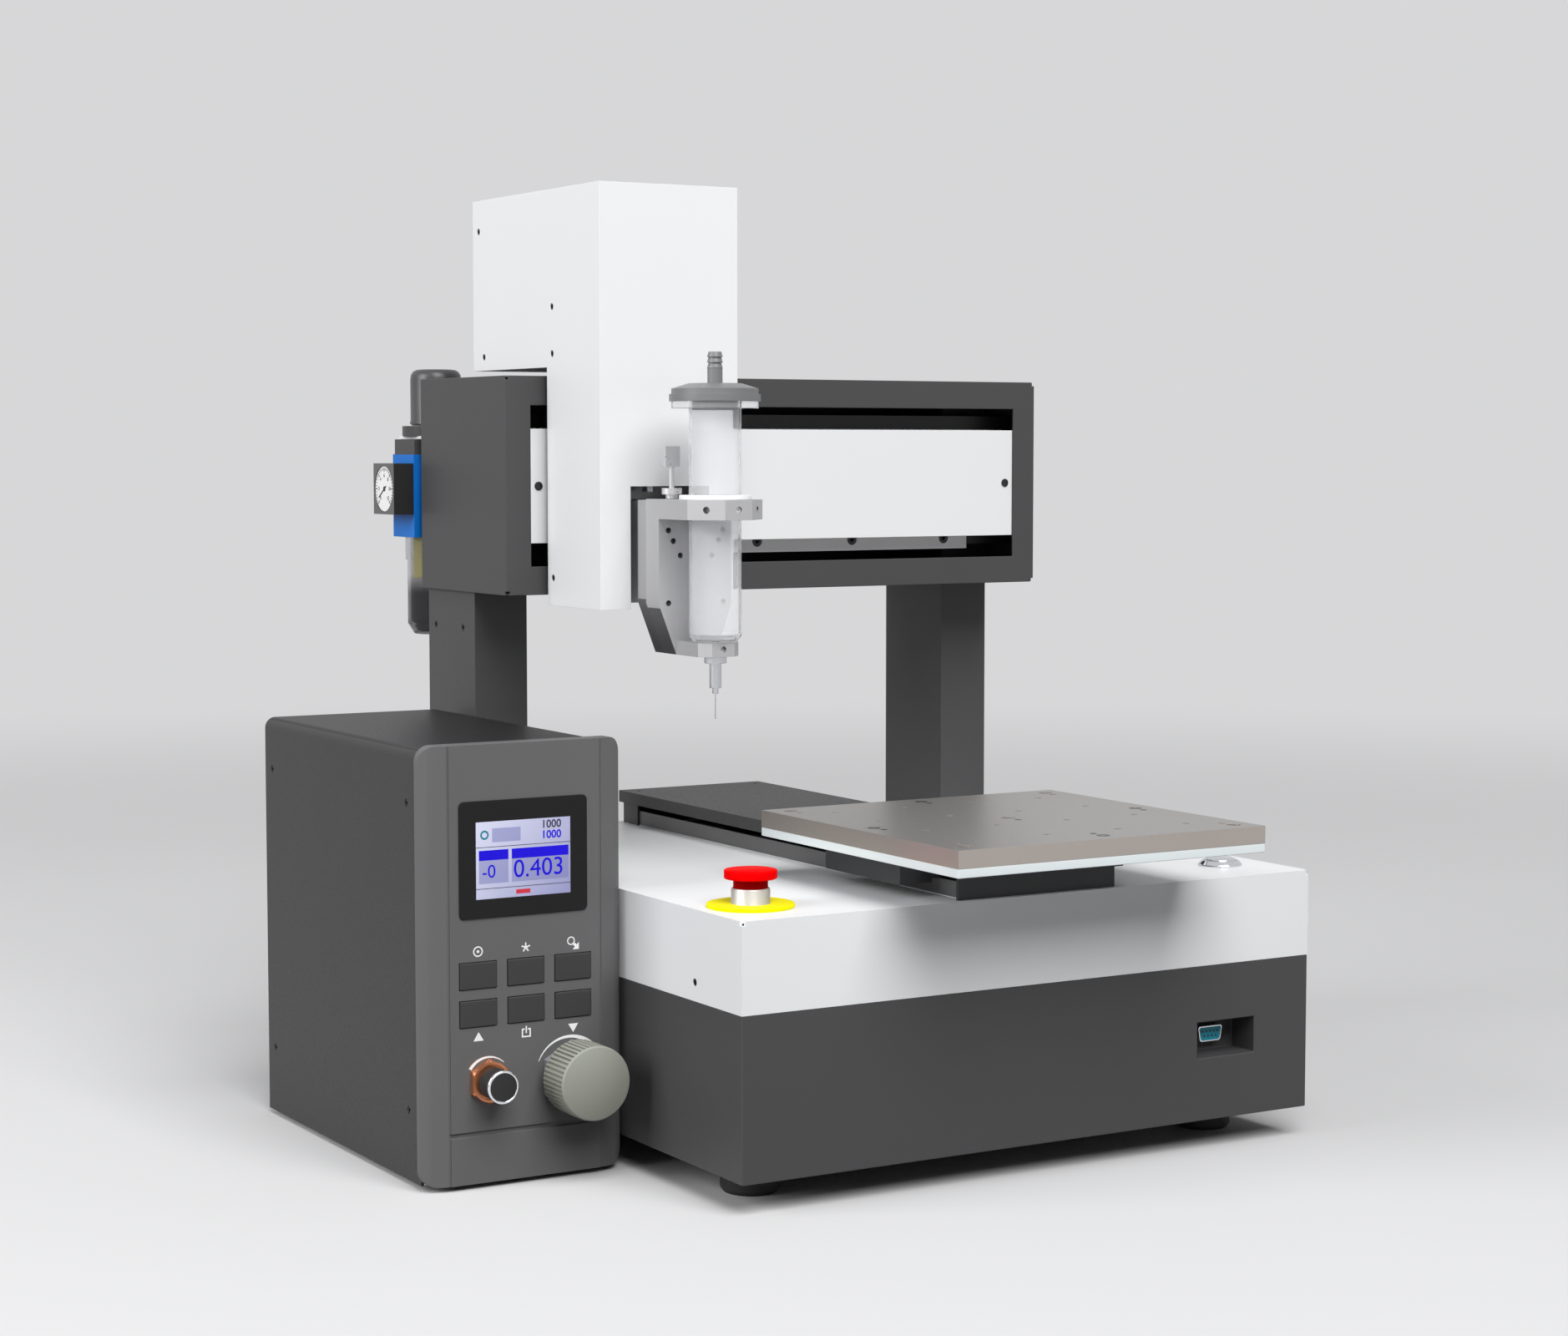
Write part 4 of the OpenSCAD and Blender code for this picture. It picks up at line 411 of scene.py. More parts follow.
def bm_cap(bm, ring, flip=False):
    """Closes a ring with a fan around its middle."""
    middle = bm.verts.new(sum((v.co for v in ring), Vector()) / len(ring))
    for k in range(len(ring)):
        pair = (ring[k], ring[(k + 1) % len(ring)])
        bm.faces.new((pair[1], pair[0], middle) if flip else (pair[0], pair[1], middle))


def bm_rings(bm, profile, place, axis, steps, shape=None):
    """Rings of points for a profile of radius and height; shape may change a radius by its angle."""
    turn = turn_to(axis)
    rings = []
    for radius, height in profile:
        ring = []
        for k in range(steps):
            angle = 2 * math.pi * k / steps
            r = shape(radius, height, angle) if shape else radius
            local = Vector((r * math.cos(angle), r * math.sin(angle), height)) * MM
            ring.append(bm.verts.new(place + turn @ local))
        rings.append(ring)
    return rings


def finish_mesh(bm, name):
    """Makes a mesh from the built faces with their normals outward."""
    bmesh.ops.recalc_face_normals(bm, faces=bm.faces)
    mesh = bpy.data.meshes.new(name)
    bm.to_mesh(mesh)
    bm.free()
    return mesh


def lathe(name, profile, place, axis, mat, body, steps=ROUND_STEPS, shape=None, hollow=False,
          smooth_angle=40):
    """One turned piece, closed at both ends, or a ring whose profile closes on itself."""
    bm = bmesh.new()
    rings = bm_rings(bm, profile, place, axis, steps, shape)
    for low, high in zip(rings, rings[1:]):
        bm_band(bm, low, high)
    if hollow:
        bm_band(bm, rings[-1], rings[0])
    else:
        bm_cap(bm, rings[0], flip=True)
        bm_cap(bm, rings[-1])
    return add_piece(name, finish_mesh(bm, name), mat, body, smooth_angle)


def six_flats(angle):
    """How far a hexagon's flat lies inside its corner circle at an angle."""
    turned = (angle + math.pi / 6) % (math.pi / 3) - math.pi / 6
    return math.cos(math.pi / 6) / math.cos(turned)


def hexagon(radius):
    """A shape for bm_rings with six flats on the radii from a given one up."""
    def shape(r, height, angle):
        return r if r < radius else r * six_flats(angle)
    return shape


def screws(name, places, axis, head, body, mat=screw_steel):
    """A group of socket screws with chamfered rims; head is their width, height and socket's width."""
    bm = bmesh.new()
    head_d, head_h, socket_d = head
    head_r = head_d / 2
    socket_r = socket_d / 2
    profile = [(head_r, 0), (head_r, head_h * SCREW_SIDE), (head_r * SCREW_FACE, head_h),
               (socket_r, head_h), (socket_r, head_h * SCREW_FLOOR)]

    def shape(r, height, angle):
        return r * six_flats(angle) if r <= socket_r else r

    for place in places:
        rings = bm_rings(bm, profile, at(*place), axis, SCREW_STEPS, shape)
        for low, high in zip(rings, rings[1:]):
            bm_band(bm, low, high)
        bm_cap(bm, rings[0], flip=True)
        bm_cap(bm, rings[-1])
    return add_piece(name, finish_mesh(bm, name), mat, body, SCREW_SMOOTH)


def flat_shapes(name, outlines, place, axis, thickness, mat, body):
    """Thin shapes raised from a face, by their outlines or by pairs of an outer and an inner one."""
    turn = turn_to(axis)
    bm = bmesh.new()

    def loop_points(loop, height):
        return [bm.verts.new(place + turn @ (Vector((u, v, height)) * MM)) for u, v in loop]

    for outline in outlines:
        loops = outline if isinstance(outline, tuple) else (outline,)
        low = [loop_points(loop, 0) for loop in loops]
        high = [loop_points(loop, thickness) for loop in loops]
        for face_loops in (low, high):
            if len(loops) == 2:
                bm_band(bm, *face_loops)
            else:
                bm.faces.new(face_loops[0])
        for lower, upper in zip(low, high):
            bm_band(bm, lower, upper)
    return add_piece(name, finish_mesh(bm, name), mat, body)


def rectangle(u0, v0, u1, v1):
    """An outline between two corners."""
    return [(u0, v0), (u1, v0), (u1, v1), (u0, v1)]


def disc(u, v, r, steps=32):
    """A round outline."""
    angles = [2 * math.pi * k / steps for k in range(steps)]
    return [(u + r * math.cos(angle), v + r * math.sin(angle)) for angle in angles]


def spoke(u, v, angle, near, far, half):
    """A bar that points away from a middle, between two distances from it."""
    out = Vector((math.cos(math.radians(angle)), math.sin(math.radians(angle))))
    side = Vector((-out.y, out.x)) * half
    middle = Vector((u, v))
    corners = (out * near - side, out * far - side, out * far + side, out * near + side)
    return [tuple(middle + corner) for corner in corners]


def round_band(u, v, r, width, steps=32):
    """A closed band around a middle: its outer and its inner outline."""
    return (disc(u, v, r + width / 2, steps), disc(u, v, r - width / 2, steps))


def arc_band(u, v, r, start, end, width_start, width_end, steps=32):
    """The outline of a band along an arc whose width changes from one end to the other."""
    sides = {-1: [], 1: []}
    for k in range(steps + 1):
        t = k / steps
        angle = math.radians(start + (end - start) * t)
        half = (width_start + (width_end - width_start) * t) / 2
        for side, points in sides.items():
            points.append((u + (r + side * half) * math.cos(angle), v + (r + side * half) * math.sin(angle)))
    return sides[1] + sides[-1][::-1]


def figures(name, words, place, axis, size, mat, body, bold=0.0, middle=False):
    """Plain figures on a face; the place is their left foot, or their middle."""
    curve = bpy.data.curves.new(name + "_curve", "FONT")
    curve.body = words
    curve.size = size * MM
    curve.offset = bold * MM
    curve.extrude = FIGURE_DEPTH * MM
    if middle:
        curve.align_x = "CENTER"
        curve.align_y = "CENTER"
    holder = bpy.data.objects.new(name + "_curve", curve)
    bpy.context.scene.collection.objects.link(holder)
    bpy.context.view_layer.update()
    graph = bpy.context.evaluated_depsgraph_get()
    mesh = bpy.data.meshes.new_from_object(holder.evaluated_get(graph))
    bpy.data.objects.remove(holder)
    mesh.name = name
    mesh.materials.clear()
    mesh.transform(Matrix.Translation(place) @ turn_to(axis).to_4x4())
    return add_piece(name, mesh, mat, body)


# Emergency stop: ring, collar and mushroom head, by profiles of radius and height
STOP = (31.0, 44.5)
BASE_TOP = 143.0
STOP_HEAD_LOW = 158.6
STOP_RING = [(10.6, 0.0), (24.2, 0.0), (24.5, 0.4), (24.5, 1.6), (24.2, 2.0), (10.6, 2.0)]
STOP_COLLAR = [(9.7, 0.6), (11.0, 0.6), (11.0, 2.2), (10.8, 2.6), (10.8, 9.6), (10.4, 10.5), (9.9, 10.6),
               (9.7, 10.3)]
STOP_HEAD = [(8.0, 0.15), (14.2, 0.15), (14.6, 0.35), (14.75, 0.8), (14.75, 4.4), (14.6, 4.8), (14.2, 5.0),
             (0.4, 5.0)]
stop_ring = lathe("stop_ring", STOP_RING, at(*STOP, BASE_TOP), "z", yellow_plastic, "base",
                  FINE_STEPS, hollow=True)
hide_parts("estop_base")
lathe("stop_collar", STOP_COLLAR, at(*STOP, BASE_TOP), "z", stop_metal, "base",
      hollow=True)
stop_head = lathe("stop_head", STOP_HEAD, at(*STOP, STOP_HEAD_LOW), "z", red_plastic,
                  "stop_button", smooth_angle=50)
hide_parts("estop_head")

# Nine-pin connector: bright shell and the pin holes of its insert
PORT = (328.6, 47.8)
PORT_FACE_Y = 15.0
PORT_BACK_Y = 20.9
PORT_DEPTH = 6.1
PORT_TOP_HALF = 8.5
PORT_LOW_HALF = 7.3
PORT_HALF_HEIGHT = 4.2
PORT_CUT = 1.0
SHELL_OUTSIDE = 0.35
SHELL_INSIDE = -0.25
PIN_STEP = 2.77
PIN_ROW = 1.42
PIN_R = 0.62
PIN_RAISED = 0.12


def port_outline(grow):
    """The connector's slanted outline with cut corners, grown or shrunk."""
    top = PORT_TOP_HALF + grow
    low = PORT_LOW_HALF + grow
    half = PORT_HALF_HEIGHT + grow
    cut = PORT_CUT
    return [(cut - low, -half), (low - cut, -half), (low, cut - half), (top, half - cut), (top - cut, half),
            (cut - top, half), (-top, half - cut), (-low, cut - half)]


port_shell = (port_outline(SHELL_OUTSIDE), port_outline(SHELL_INSIDE))
flat_shapes("port_shell", [port_shell], at(PORT[0], PORT_BACK_Y, PORT[1]), "-y", PORT_DEPTH, bright_steel,
            "base")
pin_places = [((k - 2) * PIN_STEP, PIN_ROW) for k in range(5)]
pin_places += [((k - 1.5) * PIN_STEP, -PIN_ROW) for k in range(4)]
port_pins = [disc(u, v, PIN_R, 12) for u, v in pin_places]
flat_shapes("port_pins", port_pins, at(PORT[0], PORT_FACE_Y, PORT[1]), "-y", PIN_RAISED, black_print,
            "base")

# Power inlet at the back: three flat pins
INLET = (62.0, 36.0)
INLET_FLOOR_Y = 404.0
INLET_PIN_LENGTH = 10.0
INLET_PINS = [rectangle(-6.2, -3.4, -4.8, 0.2), rectangle(4.8, -3.4, 6.2, 0.2),
              rectangle(-0.7, -0.2, 0.7, 3.4)]
flat_shapes("inlet_pins", INLET_PINS, at(INLET[0], INLET_FLOOR_Y, INLET[1]), "y", INLET_PIN_LENGTH,
            bright_steel, "base")

# Screws in the left and right faces of the covers, by places of y and z
SIDE_SUNK = 1.3
SIDE_HEAD_H = 1.0
SIDE_SOCKET = 0.6
BASE_SIDES = (0, 390)
COLUMN_SIDES = (2, 388)
HEAD_SIDES = (25.25, 118.75)
CONTROLLER_SIDES = (-123.5, -4.0)
BASE_SCREWS = [(52, 102.5), (366, 102.5)]
COLUMN_SCREWS = [(358.4, 281.5), (400.0, 281.5)]
HEAD_SCREWS = [(381.4, 531.5), (374.4, 452.0), (276.5, 480.1), (276.5, 451.7), (276.5, 315.3)]
CONTROLLER_SCREWS = [(y, z) for y in (159.4, 365.2) for z in (25.0, 197.9)]


def side_screws(name, sides, places, body, head_d=4.1):
    """Small screws in the left and right faces of a cover, sunk by a little more than their heads."""
    head = (head_d, SIDE_HEAD_H, head_d * SIDE_SOCKET)
    for side, x, axis in (("left", sides[0] + SIDE_SUNK, "-x"), ("right", sides[1] - SIDE_SUNK, "x")):
        screws("%s_%s" % (name, side), [(x, y, z) for y, z in places], axis, head, body)


side_screws("base_side_screws", BASE_SIDES, BASE_SCREWS, "base")
side_screws("column_screws", COLUMN_SIDES, COLUMN_SCREWS, "base")
side_screws("head_screws", HEAD_SIDES, HEAD_SCREWS, "head", 3.9)
side_screws("controller_screws", CONTROLLER_SIDES, CONTROLLER_SCREWS, "base")

# Screws on the dust cover and on the gantry's front
DUST_COVER_SCREWS = [(x, y, 163.4) for x in (150, 240) for y in (16, 402)]
STRIP_SCREWS = [(328.5 - 72 * k, 306.9, 334.6) for k in range(4)]
PANEL_SCREWS = [(x, 288.98, 371.25) for x in (21.7, 368.3)]
DUST_COVER_HEAD = (3.8, 1.2, 2.2)
STRIP_HEAD = (7.0, 3.6, 3.4)
PANEL_HEAD = (5.4, 0.5, 3.4)
screws("dust_cover_screws", DUST_COVER_SCREWS, "z", DUST_COVER_HEAD, "base")
screws("strip_screws", STRIP_SCREWS, "-y", STRIP_HEAD, "base")
screws("panel_screws", PANEL_SCREWS, "-y", PANEL_HEAD, "base")

# Flush screws at the middles of the table's edges, each with a set screw beside it, and one near its middle
TABLE_MID = (195.0, 33.5)
TABLE_SEAT = 182.9
EDGE_OUT = 91.0
EDGE_WAYS = [(0, -1), (1, 0), (0, 1), (-1, 0)]
SET_SCREW_OFFSETS = [(0, 9.0), (-1.0, -9.0), (0, -9.0), (1.0, -9.0)]
MID_SET_SCREW = (0, -10.0)
TABLE_HEAD = (7.6, 0.2, 4.2)
SET_SCREW_HEAD = (4.0, 0.2, 2.0)


def on_table(spots):
    """Places on the table's top, from its middle."""
    return [(TABLE_MID[0] + x, TABLE_MID[1] + y, TABLE_SEAT) for x, y in spots]


edge_spots = [(x * EDGE_OUT, y * EDGE_OUT) for x, y in EDGE_WAYS]
set_spots = [(x + dx, y + dy) for (x, y), (dx, dy) in zip(edge_spots, SET_SCREW_OFFSETS)] + [MID_SET_SCREW]
screws("table_screws", on_table(edge_spots), "z", TABLE_HEAD, "work_table")
screws("table_set_screws", on_table(set_spots), "z", SET_SCREW_HEAD, "work_table")

# Screws on the backs of the gantry and the controller, and in the syringe bracket
REAR_PANEL_SCREWS = [(x, 415.0, z) for x in (70, 195, 378) for z in (318, 427)]
CONTROLLER_BACK_SCREWS = [(x, 377.0, z) for x in (-109, -18.5) for z in (2, 214)]
BRACKET_SET_SCREW = [(72.0, 131.4, 358.7)]
REAR_PANEL_HEAD = (5.6, 2.0, 2.8)
CONTROLLER_BACK_HEAD = (5.0, 1.8, 2.6)
BRACKET_HEAD = (3.8, 1.4, 2.0)
screws("rear_panel_screws", REAR_PANEL_SCREWS, "y", REAR_PANEL_HEAD, "base")
screws("controller_back_screws", CONTROLLER_BACK_SCREWS, "y", CONTROLLER_BACK_HEAD, "base")
screws("bracket_set_screw", BRACKET_SET_SCREW, "-y", BRACKET_HEAD, "lift", thumb_steel)

# End of the dust cover at the back: cheeks in front of its legs and a plate with bent ends between them
CHEEK_X = [(143.5, 144.9), (245.1, 246.5)]
CHEEK_Y = (392.0, 403.9)
END_PLATE = [(154.6, 405.0), (156.6, 404.0), (233.4, 404.0), (235.4, 405.0), (235.4, 407.0), (233.4, 406.0),
             (156.6, 406.0), (154.6, 407.0)]
END_LOW = BASE_TOP + 0.05
END_HEIGHT = 15.4
end_shapes = [rectangle(low, CHEEK_Y[0], high, CHEEK_Y[1]) for low, high in CHEEK_X] + [END_PLATE]
flat_shapes("dust_cover_end", end_shapes, at(0, 0, END_LOW), "z", END_HEIGHT, cover_paint,
            "base")

# Picture on the controller's display, in shares of its width and of its height from the top
FRONT = 132.3
SCREEN_W = 58.1
SCREEN_H = 43.1
SCREEN_CORNER = at(-94.3, FRONT - 1.0, 144.9)
WHOLE = (0.0, 1.0)
SET_COLUMN = (0.17, 0.47)
SIDE_COLUMN = (0.03, 0.34)
MAIN_COLUMN = (0.375, 0.98)
STATE_COLUMN = (0.42, 0.57)
SET_ROW = (0.09, 0.27)
BAR_ROW = (0.37, 0.50)
VALUE_ROW = (0.50, 0.80)
STATE_ROW = (0.905, 0.96)
LINE_ROWS = [(0.325, 0.333), (0.862, 0.870)]
SCREEN_SIGN = (0.09, 0.17)
GROUND_RAISED = 0.05
FIELD_RAISED = 0.09
BAR_RAISED = 0.12
FIGURES_OUT = -0.15


def screen_box(column, row):
    """A box of the display between two shares across and two shares down."""
    return rectangle(column[0] * SCREEN_W, (1 - row[1]) * SCREEN_H, column[1] * SCREEN_W,
                     (1 - row[0]) * SCREEN_H)


def on_screen(name, outlines, thickness, mat):
    """Shapes on the display; a thicker one lies over a thinner one."""
    return flat_shapes(name, outlines, SCREEN_CORNER, "-y", thickness, mat, "base")


def screen_figures(name, words, across, down, size, mat, bold):
    """Figures on the display, by their left foot."""
    place = SCREEN_CORNER + Vector((across * SCREEN_W, FIGURES_OUT, (1 - down) * SCREEN_H)) * MM
    return figures(name, words, place, "-y", size, mat, "base", bold)


on_screen("screen_ground", [screen_box(WHOLE, WHOLE)], GROUND_RAISED, screen_ground)
screen_fields = [screen_box(SET_COLUMN, SET_ROW), screen_box(SIDE_COLUMN, VALUE_ROW),
                 screen_box(MAIN_COLUMN, VALUE_ROW)]
on_screen("screen_fields", screen_fields, FIELD_RAISED, screen_field)
screen_bars = [screen_box(SIDE_COLUMN, BAR_ROW), screen_box(MAIN_COLUMN, BAR_ROW)]
on_screen("screen_bars", screen_bars, BAR_RAISED, screen_blue)
on_screen("screen_lines", [screen_box(WHOLE, row) for row in LINE_ROWS], FIELD_RAISED, screen_dark)
on_screen("screen_state", [screen_box(STATE_COLUMN, STATE_ROW)], FIELD_RAISED, screen_red)
screen_sign = round_band(SCREEN_SIGN[0] * SCREEN_W, (1 - SCREEN_SIGN[1]) * SCREEN_H, 2.1, 1.0)
on_screen("screen_sign", [screen_sign], FIELD_RAISED, screen_teal)
screen_figures("screen_main_value", "0.403", 0.39, 0.745, 14.2, screen_blue, 0.0)
screen_figures("screen_side_value", "-0", 0.06, 0.725, 10.4, screen_blue, 0.0)
screen_figures("screen_set_value", "1000", 0.69, 0.125, 6.2, screen_dark, 0.1)
screen_figures("screen_use_value", "1000", 0.69, 0.262, 6.2, screen_blue, 0.1)

# Signs over and under the keys and arcs around the knobs, in millimetres from the panel's middle and foot
PANEL_MID = -63.75
KEY_STEP = 29.3
UPPER_SIGN = 115.8
SIGN_RAISED = 0.06
TRIANGLE_HALF = 3.1
UP_FOOT = 65.6
UP_TIP = 70.6
DOWN_FOOT = 69.8
DOWN_TIP = 64.8
ARROW_MID = (28.2, UPPER_SIGN + 1.3)
ARROW_HEAD = [(29.2, UPPER_SIGN - 3.7), (33.1, UPPER_SIGN - 3.7), (33.1, UPPER_SIGN + 0.2)]
POWER_FRAME = [(-2.8, 64.9), (2.8, 64.9), (2.8, 69.9), (1.0, 69.9), (1.0, 69.1), (2.0, 69.1), (2.0, 65.7),
               (-2.0, 65.7), (-2.0, 69.1), (-1.0, 69.1), (-1.0, 69.9), (-2.8, 69.9)]
POWER_BAR = rectangle(-0.4, 67.2, 0.4, 71.2)
SMALL_KNOB = (-87.15, 42.5)
LARGE_KNOB = (-35.55, 40.9)
SMALL_ARC_MID = (SMALL_KNOB[0] - PANEL_MID, SMALL_KNOB[1])
LARGE_ARC_MID = (LARGE_KNOB[0] - PANEL_MID - 1.6, LARGE_KNOB[1] + 1.0)
ring_sign = [round_band(-KEY_STEP, UPPER_SIGN, 2.6, 0.75), disc(-KEY_STEP, UPPER_SIGN, 0.85, 16)]
star_outline = []
for arm in range(5):
    star_outline += spoke(0, UPPER_SIGN, 90 + 72 * arm, 0.58, 2.7, 0.42)[:3]
arrow_shaft = spoke(*ARROW_MID, -45, 2.6, 4.24, 0.8)
arrow_sign = [round_band(*ARROW_MID, 2.1, 0.65), arrow_shaft[:2] + ARROW_HEAD + arrow_shaft[2:]]
up_sign = [(-KEY_STEP - TRIANGLE_HALF, UP_FOOT), (-KEY_STEP + TRIANGLE_HALF, UP_FOOT), (-KEY_STEP, UP_TIP)]
down_sign = [(KEY_STEP - TRIANGLE_HALF, DOWN_FOOT), (KEY_STEP + TRIANGLE_HALF, DOWN_FOOT),
             (KEY_STEP, DOWN_TIP)]
small_arc = arc_band(*SMALL_ARC_MID, 13.5, 146, 46, 1.9, 0.35)
large_arc = arc_band(*LARGE_ARC_MID, 20.8, 156, 45, 0.35, 2.5)
panel_signs = ring_sign + arrow_sign
panel_signs += [up_sign, down_sign, POWER_FRAME, POWER_BAR, star_outline, small_arc, large_arc]
flat_shapes("panel_signs", panel_signs, at(PANEL_MID, FRONT, 0.0), "-y", SIGN_RAISED, white_print,
            "base")

# Knobs of the controller, with a nut and a collar on the panel's face, by profiles of radius and height
SMALL_END_Y = 111.8
SMALL_NUT = [(5.2, 0.0), (12.6, 0.0), (12.6, 3.4), (11.4, 4.4), (9.9, 4.4), (9.7, 3.2), (5.2, 3.2)]
SMALL_NUT_FLATS = 11.9
SMALL_GRIP = [(3.0, -14.8), (8.3, -14.8), (8.8, -14.3), (8.8, -1.8), (8.3, -0.5), (7.8, -0.4), (0.3, -0.4)]
SMALL_RIM = [(8.6, -2.6), (9.3, -2.4), (9.55, -1.4), (9.3, -0.4), (8.6, 0.0), (8.0, -0.2), (7.9, -0.6),
             (8.3, -1.2)]
LARGE_END_Y = 100.9
LARGE_COLLAR = [(12.2, 0.0), (20.0, 0.0), (20.0, 4.4), (18.8, 5.6), (12.2, 5.6)]
LARGE_COLLAR_FLATS = 18.5
LARGE_GRIP = [(6.0, -24.9), (20.6, -24.9), (21.2, -24.3), (21.25, -1.7), (21.2, -1.2), (20.8, -0.4),
              (20.2, 0.0), (0.4, 0.0)]
LARGE_RIBS = 50
RIB_STEPS = 8
GROOVE_FROM_R = 21.0
GROOVE_END = -1.5
GROOVE_DEPTH = 1.5
RIB_SHARE = 0.15


def grip_grooves(r, height, angle):
    """Narrow grooves along the large knob's side that end at its front shoulder."""
    if r <= GROOVE_FROM_R or height >= GROOVE_END:
        return r
    wave = max(0.0, (math.cos(LARGE_RIBS * angle) - RIB_SHARE) / (1 - RIB_SHARE))
    return r - GROOVE_DEPTH * min(1.0, 2.0 * wave)


small_end = at(SMALL_KNOB[0], SMALL_END_Y, SMALL_KNOB[1])
large_end = at(LARGE_KNOB[0], LARGE_END_Y, LARGE_KNOB[1])
lathe("small_knob_nut", SMALL_NUT, at(SMALL_KNOB[0], FRONT, SMALL_KNOB[1]), "-y", copper,
      "base", shape=hexagon(SMALL_NUT_FLATS), smooth_angle=30)
small_knob = lathe("small_knob_grip", SMALL_GRIP, small_end, "-y", black_plastic,
                   "small_knob", FINE_STEPS)
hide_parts("timer_knob")
lathe("small_knob_rim", SMALL_RIM, small_end, "-y", chrome, "small_knob", FINE_STEPS, hollow=True,
      smooth_angle=60)
large_knob = lathe("large_knob_grip", LARGE_GRIP, large_end, "-y", knob_plastic, "large_knob",
                   LARGE_RIBS * RIB_STEPS, grip_grooves, smooth_angle=35)
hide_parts("pressure_knob")
lathe("large_knob_collar", LARGE_COLLAR, at(LARGE_KNOB[0], FRONT, LARGE_KNOB[1]), "-y", collar_plastic,
      "base", shape=hexagon(LARGE_COLLAR_FLATS), hollow=True, smooth_angle=30)

# Filter regulator: knob with a rounded top, by a profile of radius and height
REGULATOR = (20.0, 438.0)
AIR_KNOB_LOW = 409.9
AIR_KNOB = [(4.0, -0.8), (16.0, -0.8), (16.0, 0.0), (17.0, 0.1), (17.0, 1.6), (16.6, 2.2), (16.6, 29.2),
            (16.2, 32.0), (14.9, 34.2), (12.8, 35.4), (10.4, 35.7), (0.4, 35.7)]
air_knob = lathe("air_knob_grip", AIR_KNOB, at(*REGULATOR, AIR_KNOB_LOW), "z", smoke_plastic,
                 "air_knob", FINE_STEPS, smooth_angle=50)
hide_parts("regulator_knob")

# Gauge: dial with marks, a pointer and plain figures
GAUGE = (438.0, 368.1)
GAUGE_FLOOR_X = -16.7
DIAL_R = 14.6
DIAL_RAISED = 0.2
MARKS_RAISED = 0.35
FIGURES_RAISED = 0.3
FIRST_MARK = 225
MARK_TURN = 9
MARKS = 31
MARKS_PER_FIGURE = 5
MARK_OUT = 13.6
LONG_MARK = (11.0, MARK_OUT, 0.34)
SHORT_MARK = (12.2, MARK_OUT, 0.2)
POINTER_TURN = 212
POINTER_OUT = 10.6
POINTER_BACK = 3.4
POINTER_HALF = 0.5
HUB_R = 1.7
FIGURE_R = 8.6
FIGURE_SIZE = 3.4
FIGURE_BOLD = 0.04
gauge_place = at(GAUGE_FLOOR_X, *GAUGE)
flat_shapes("gauge_dial", [disc(0, 0, DIAL_R, 64)], gauge_place, "-x", DIAL_RAISED, white_print,
            "base")
gauge_marks = []
for mark in range(MARKS):
    mark_shape = SHORT_MARK if mark % MARKS_PER_FIGURE else LONG_MARK
    gauge_marks.append(spoke(0, 0, FIRST_MARK - MARK_TURN * mark, *mark_shape))
gauge_marks += [spoke(0, 0, POINTER_TURN, HUB_R, POINTER_OUT, POINTER_HALF),
                spoke(0, 0, POINTER_TURN - 180, HUB_R, POINTER_BACK, POINTER_HALF), disc(0, 0, HUB_R, 24)]
flat_shapes("gauge_marks", gauge_marks, gauge_place, "-x", MARKS_RAISED, black_print, "base")
for step in range(MARKS // MARKS_PER_FIGURE + 1):
    turned = math.radians(FIRST_MARK - MARK_TURN * MARKS_PER_FIGURE * step)
    offset = Vector((-FIGURES_RAISED, -FIGURE_R * math.cos(turned), FIGURE_R * math.sin(turned)))
    figures("gauge_figure_%d" % step, str(2 * step), gauge_place + offset * MM, "-x", FIGURE_SIZE,
            black_print, "base", FIGURE_BOLD, middle=True)

# Floor and light
BACKDROP = (0.68, 0.68, 0.69, 1.0)
SKY = (0.92, 0.93, 0.95, 1.0)
SKY_STRENGTH = 0.13
FLOOR_HALF = 30.0
FLOOR_GRAIN = 40.0
FLOOR_ROUGH = 0.75
FADE_START = 0.9
FADE_END = 3.2


def seen_rays(tree):
    """A factor that is true for what the camera sees, straight on, in metal or through glass."""
    path = tree.nodes.new("ShaderNodeLightPath")
    seen = path.outputs["Is Camera Ray"]
    for ray in ("Is Glossy Ray", "Is Transmission Ray"):
        either = tree.nodes.new("ShaderNodeMath")
        either.operation = "MAXIMUM"
        tree.links.new(seen, either.inputs[0])
        tree.links.new(path.outputs[ray], either.inputs[1])
        seen = either.outputs["Value"]
    return seen


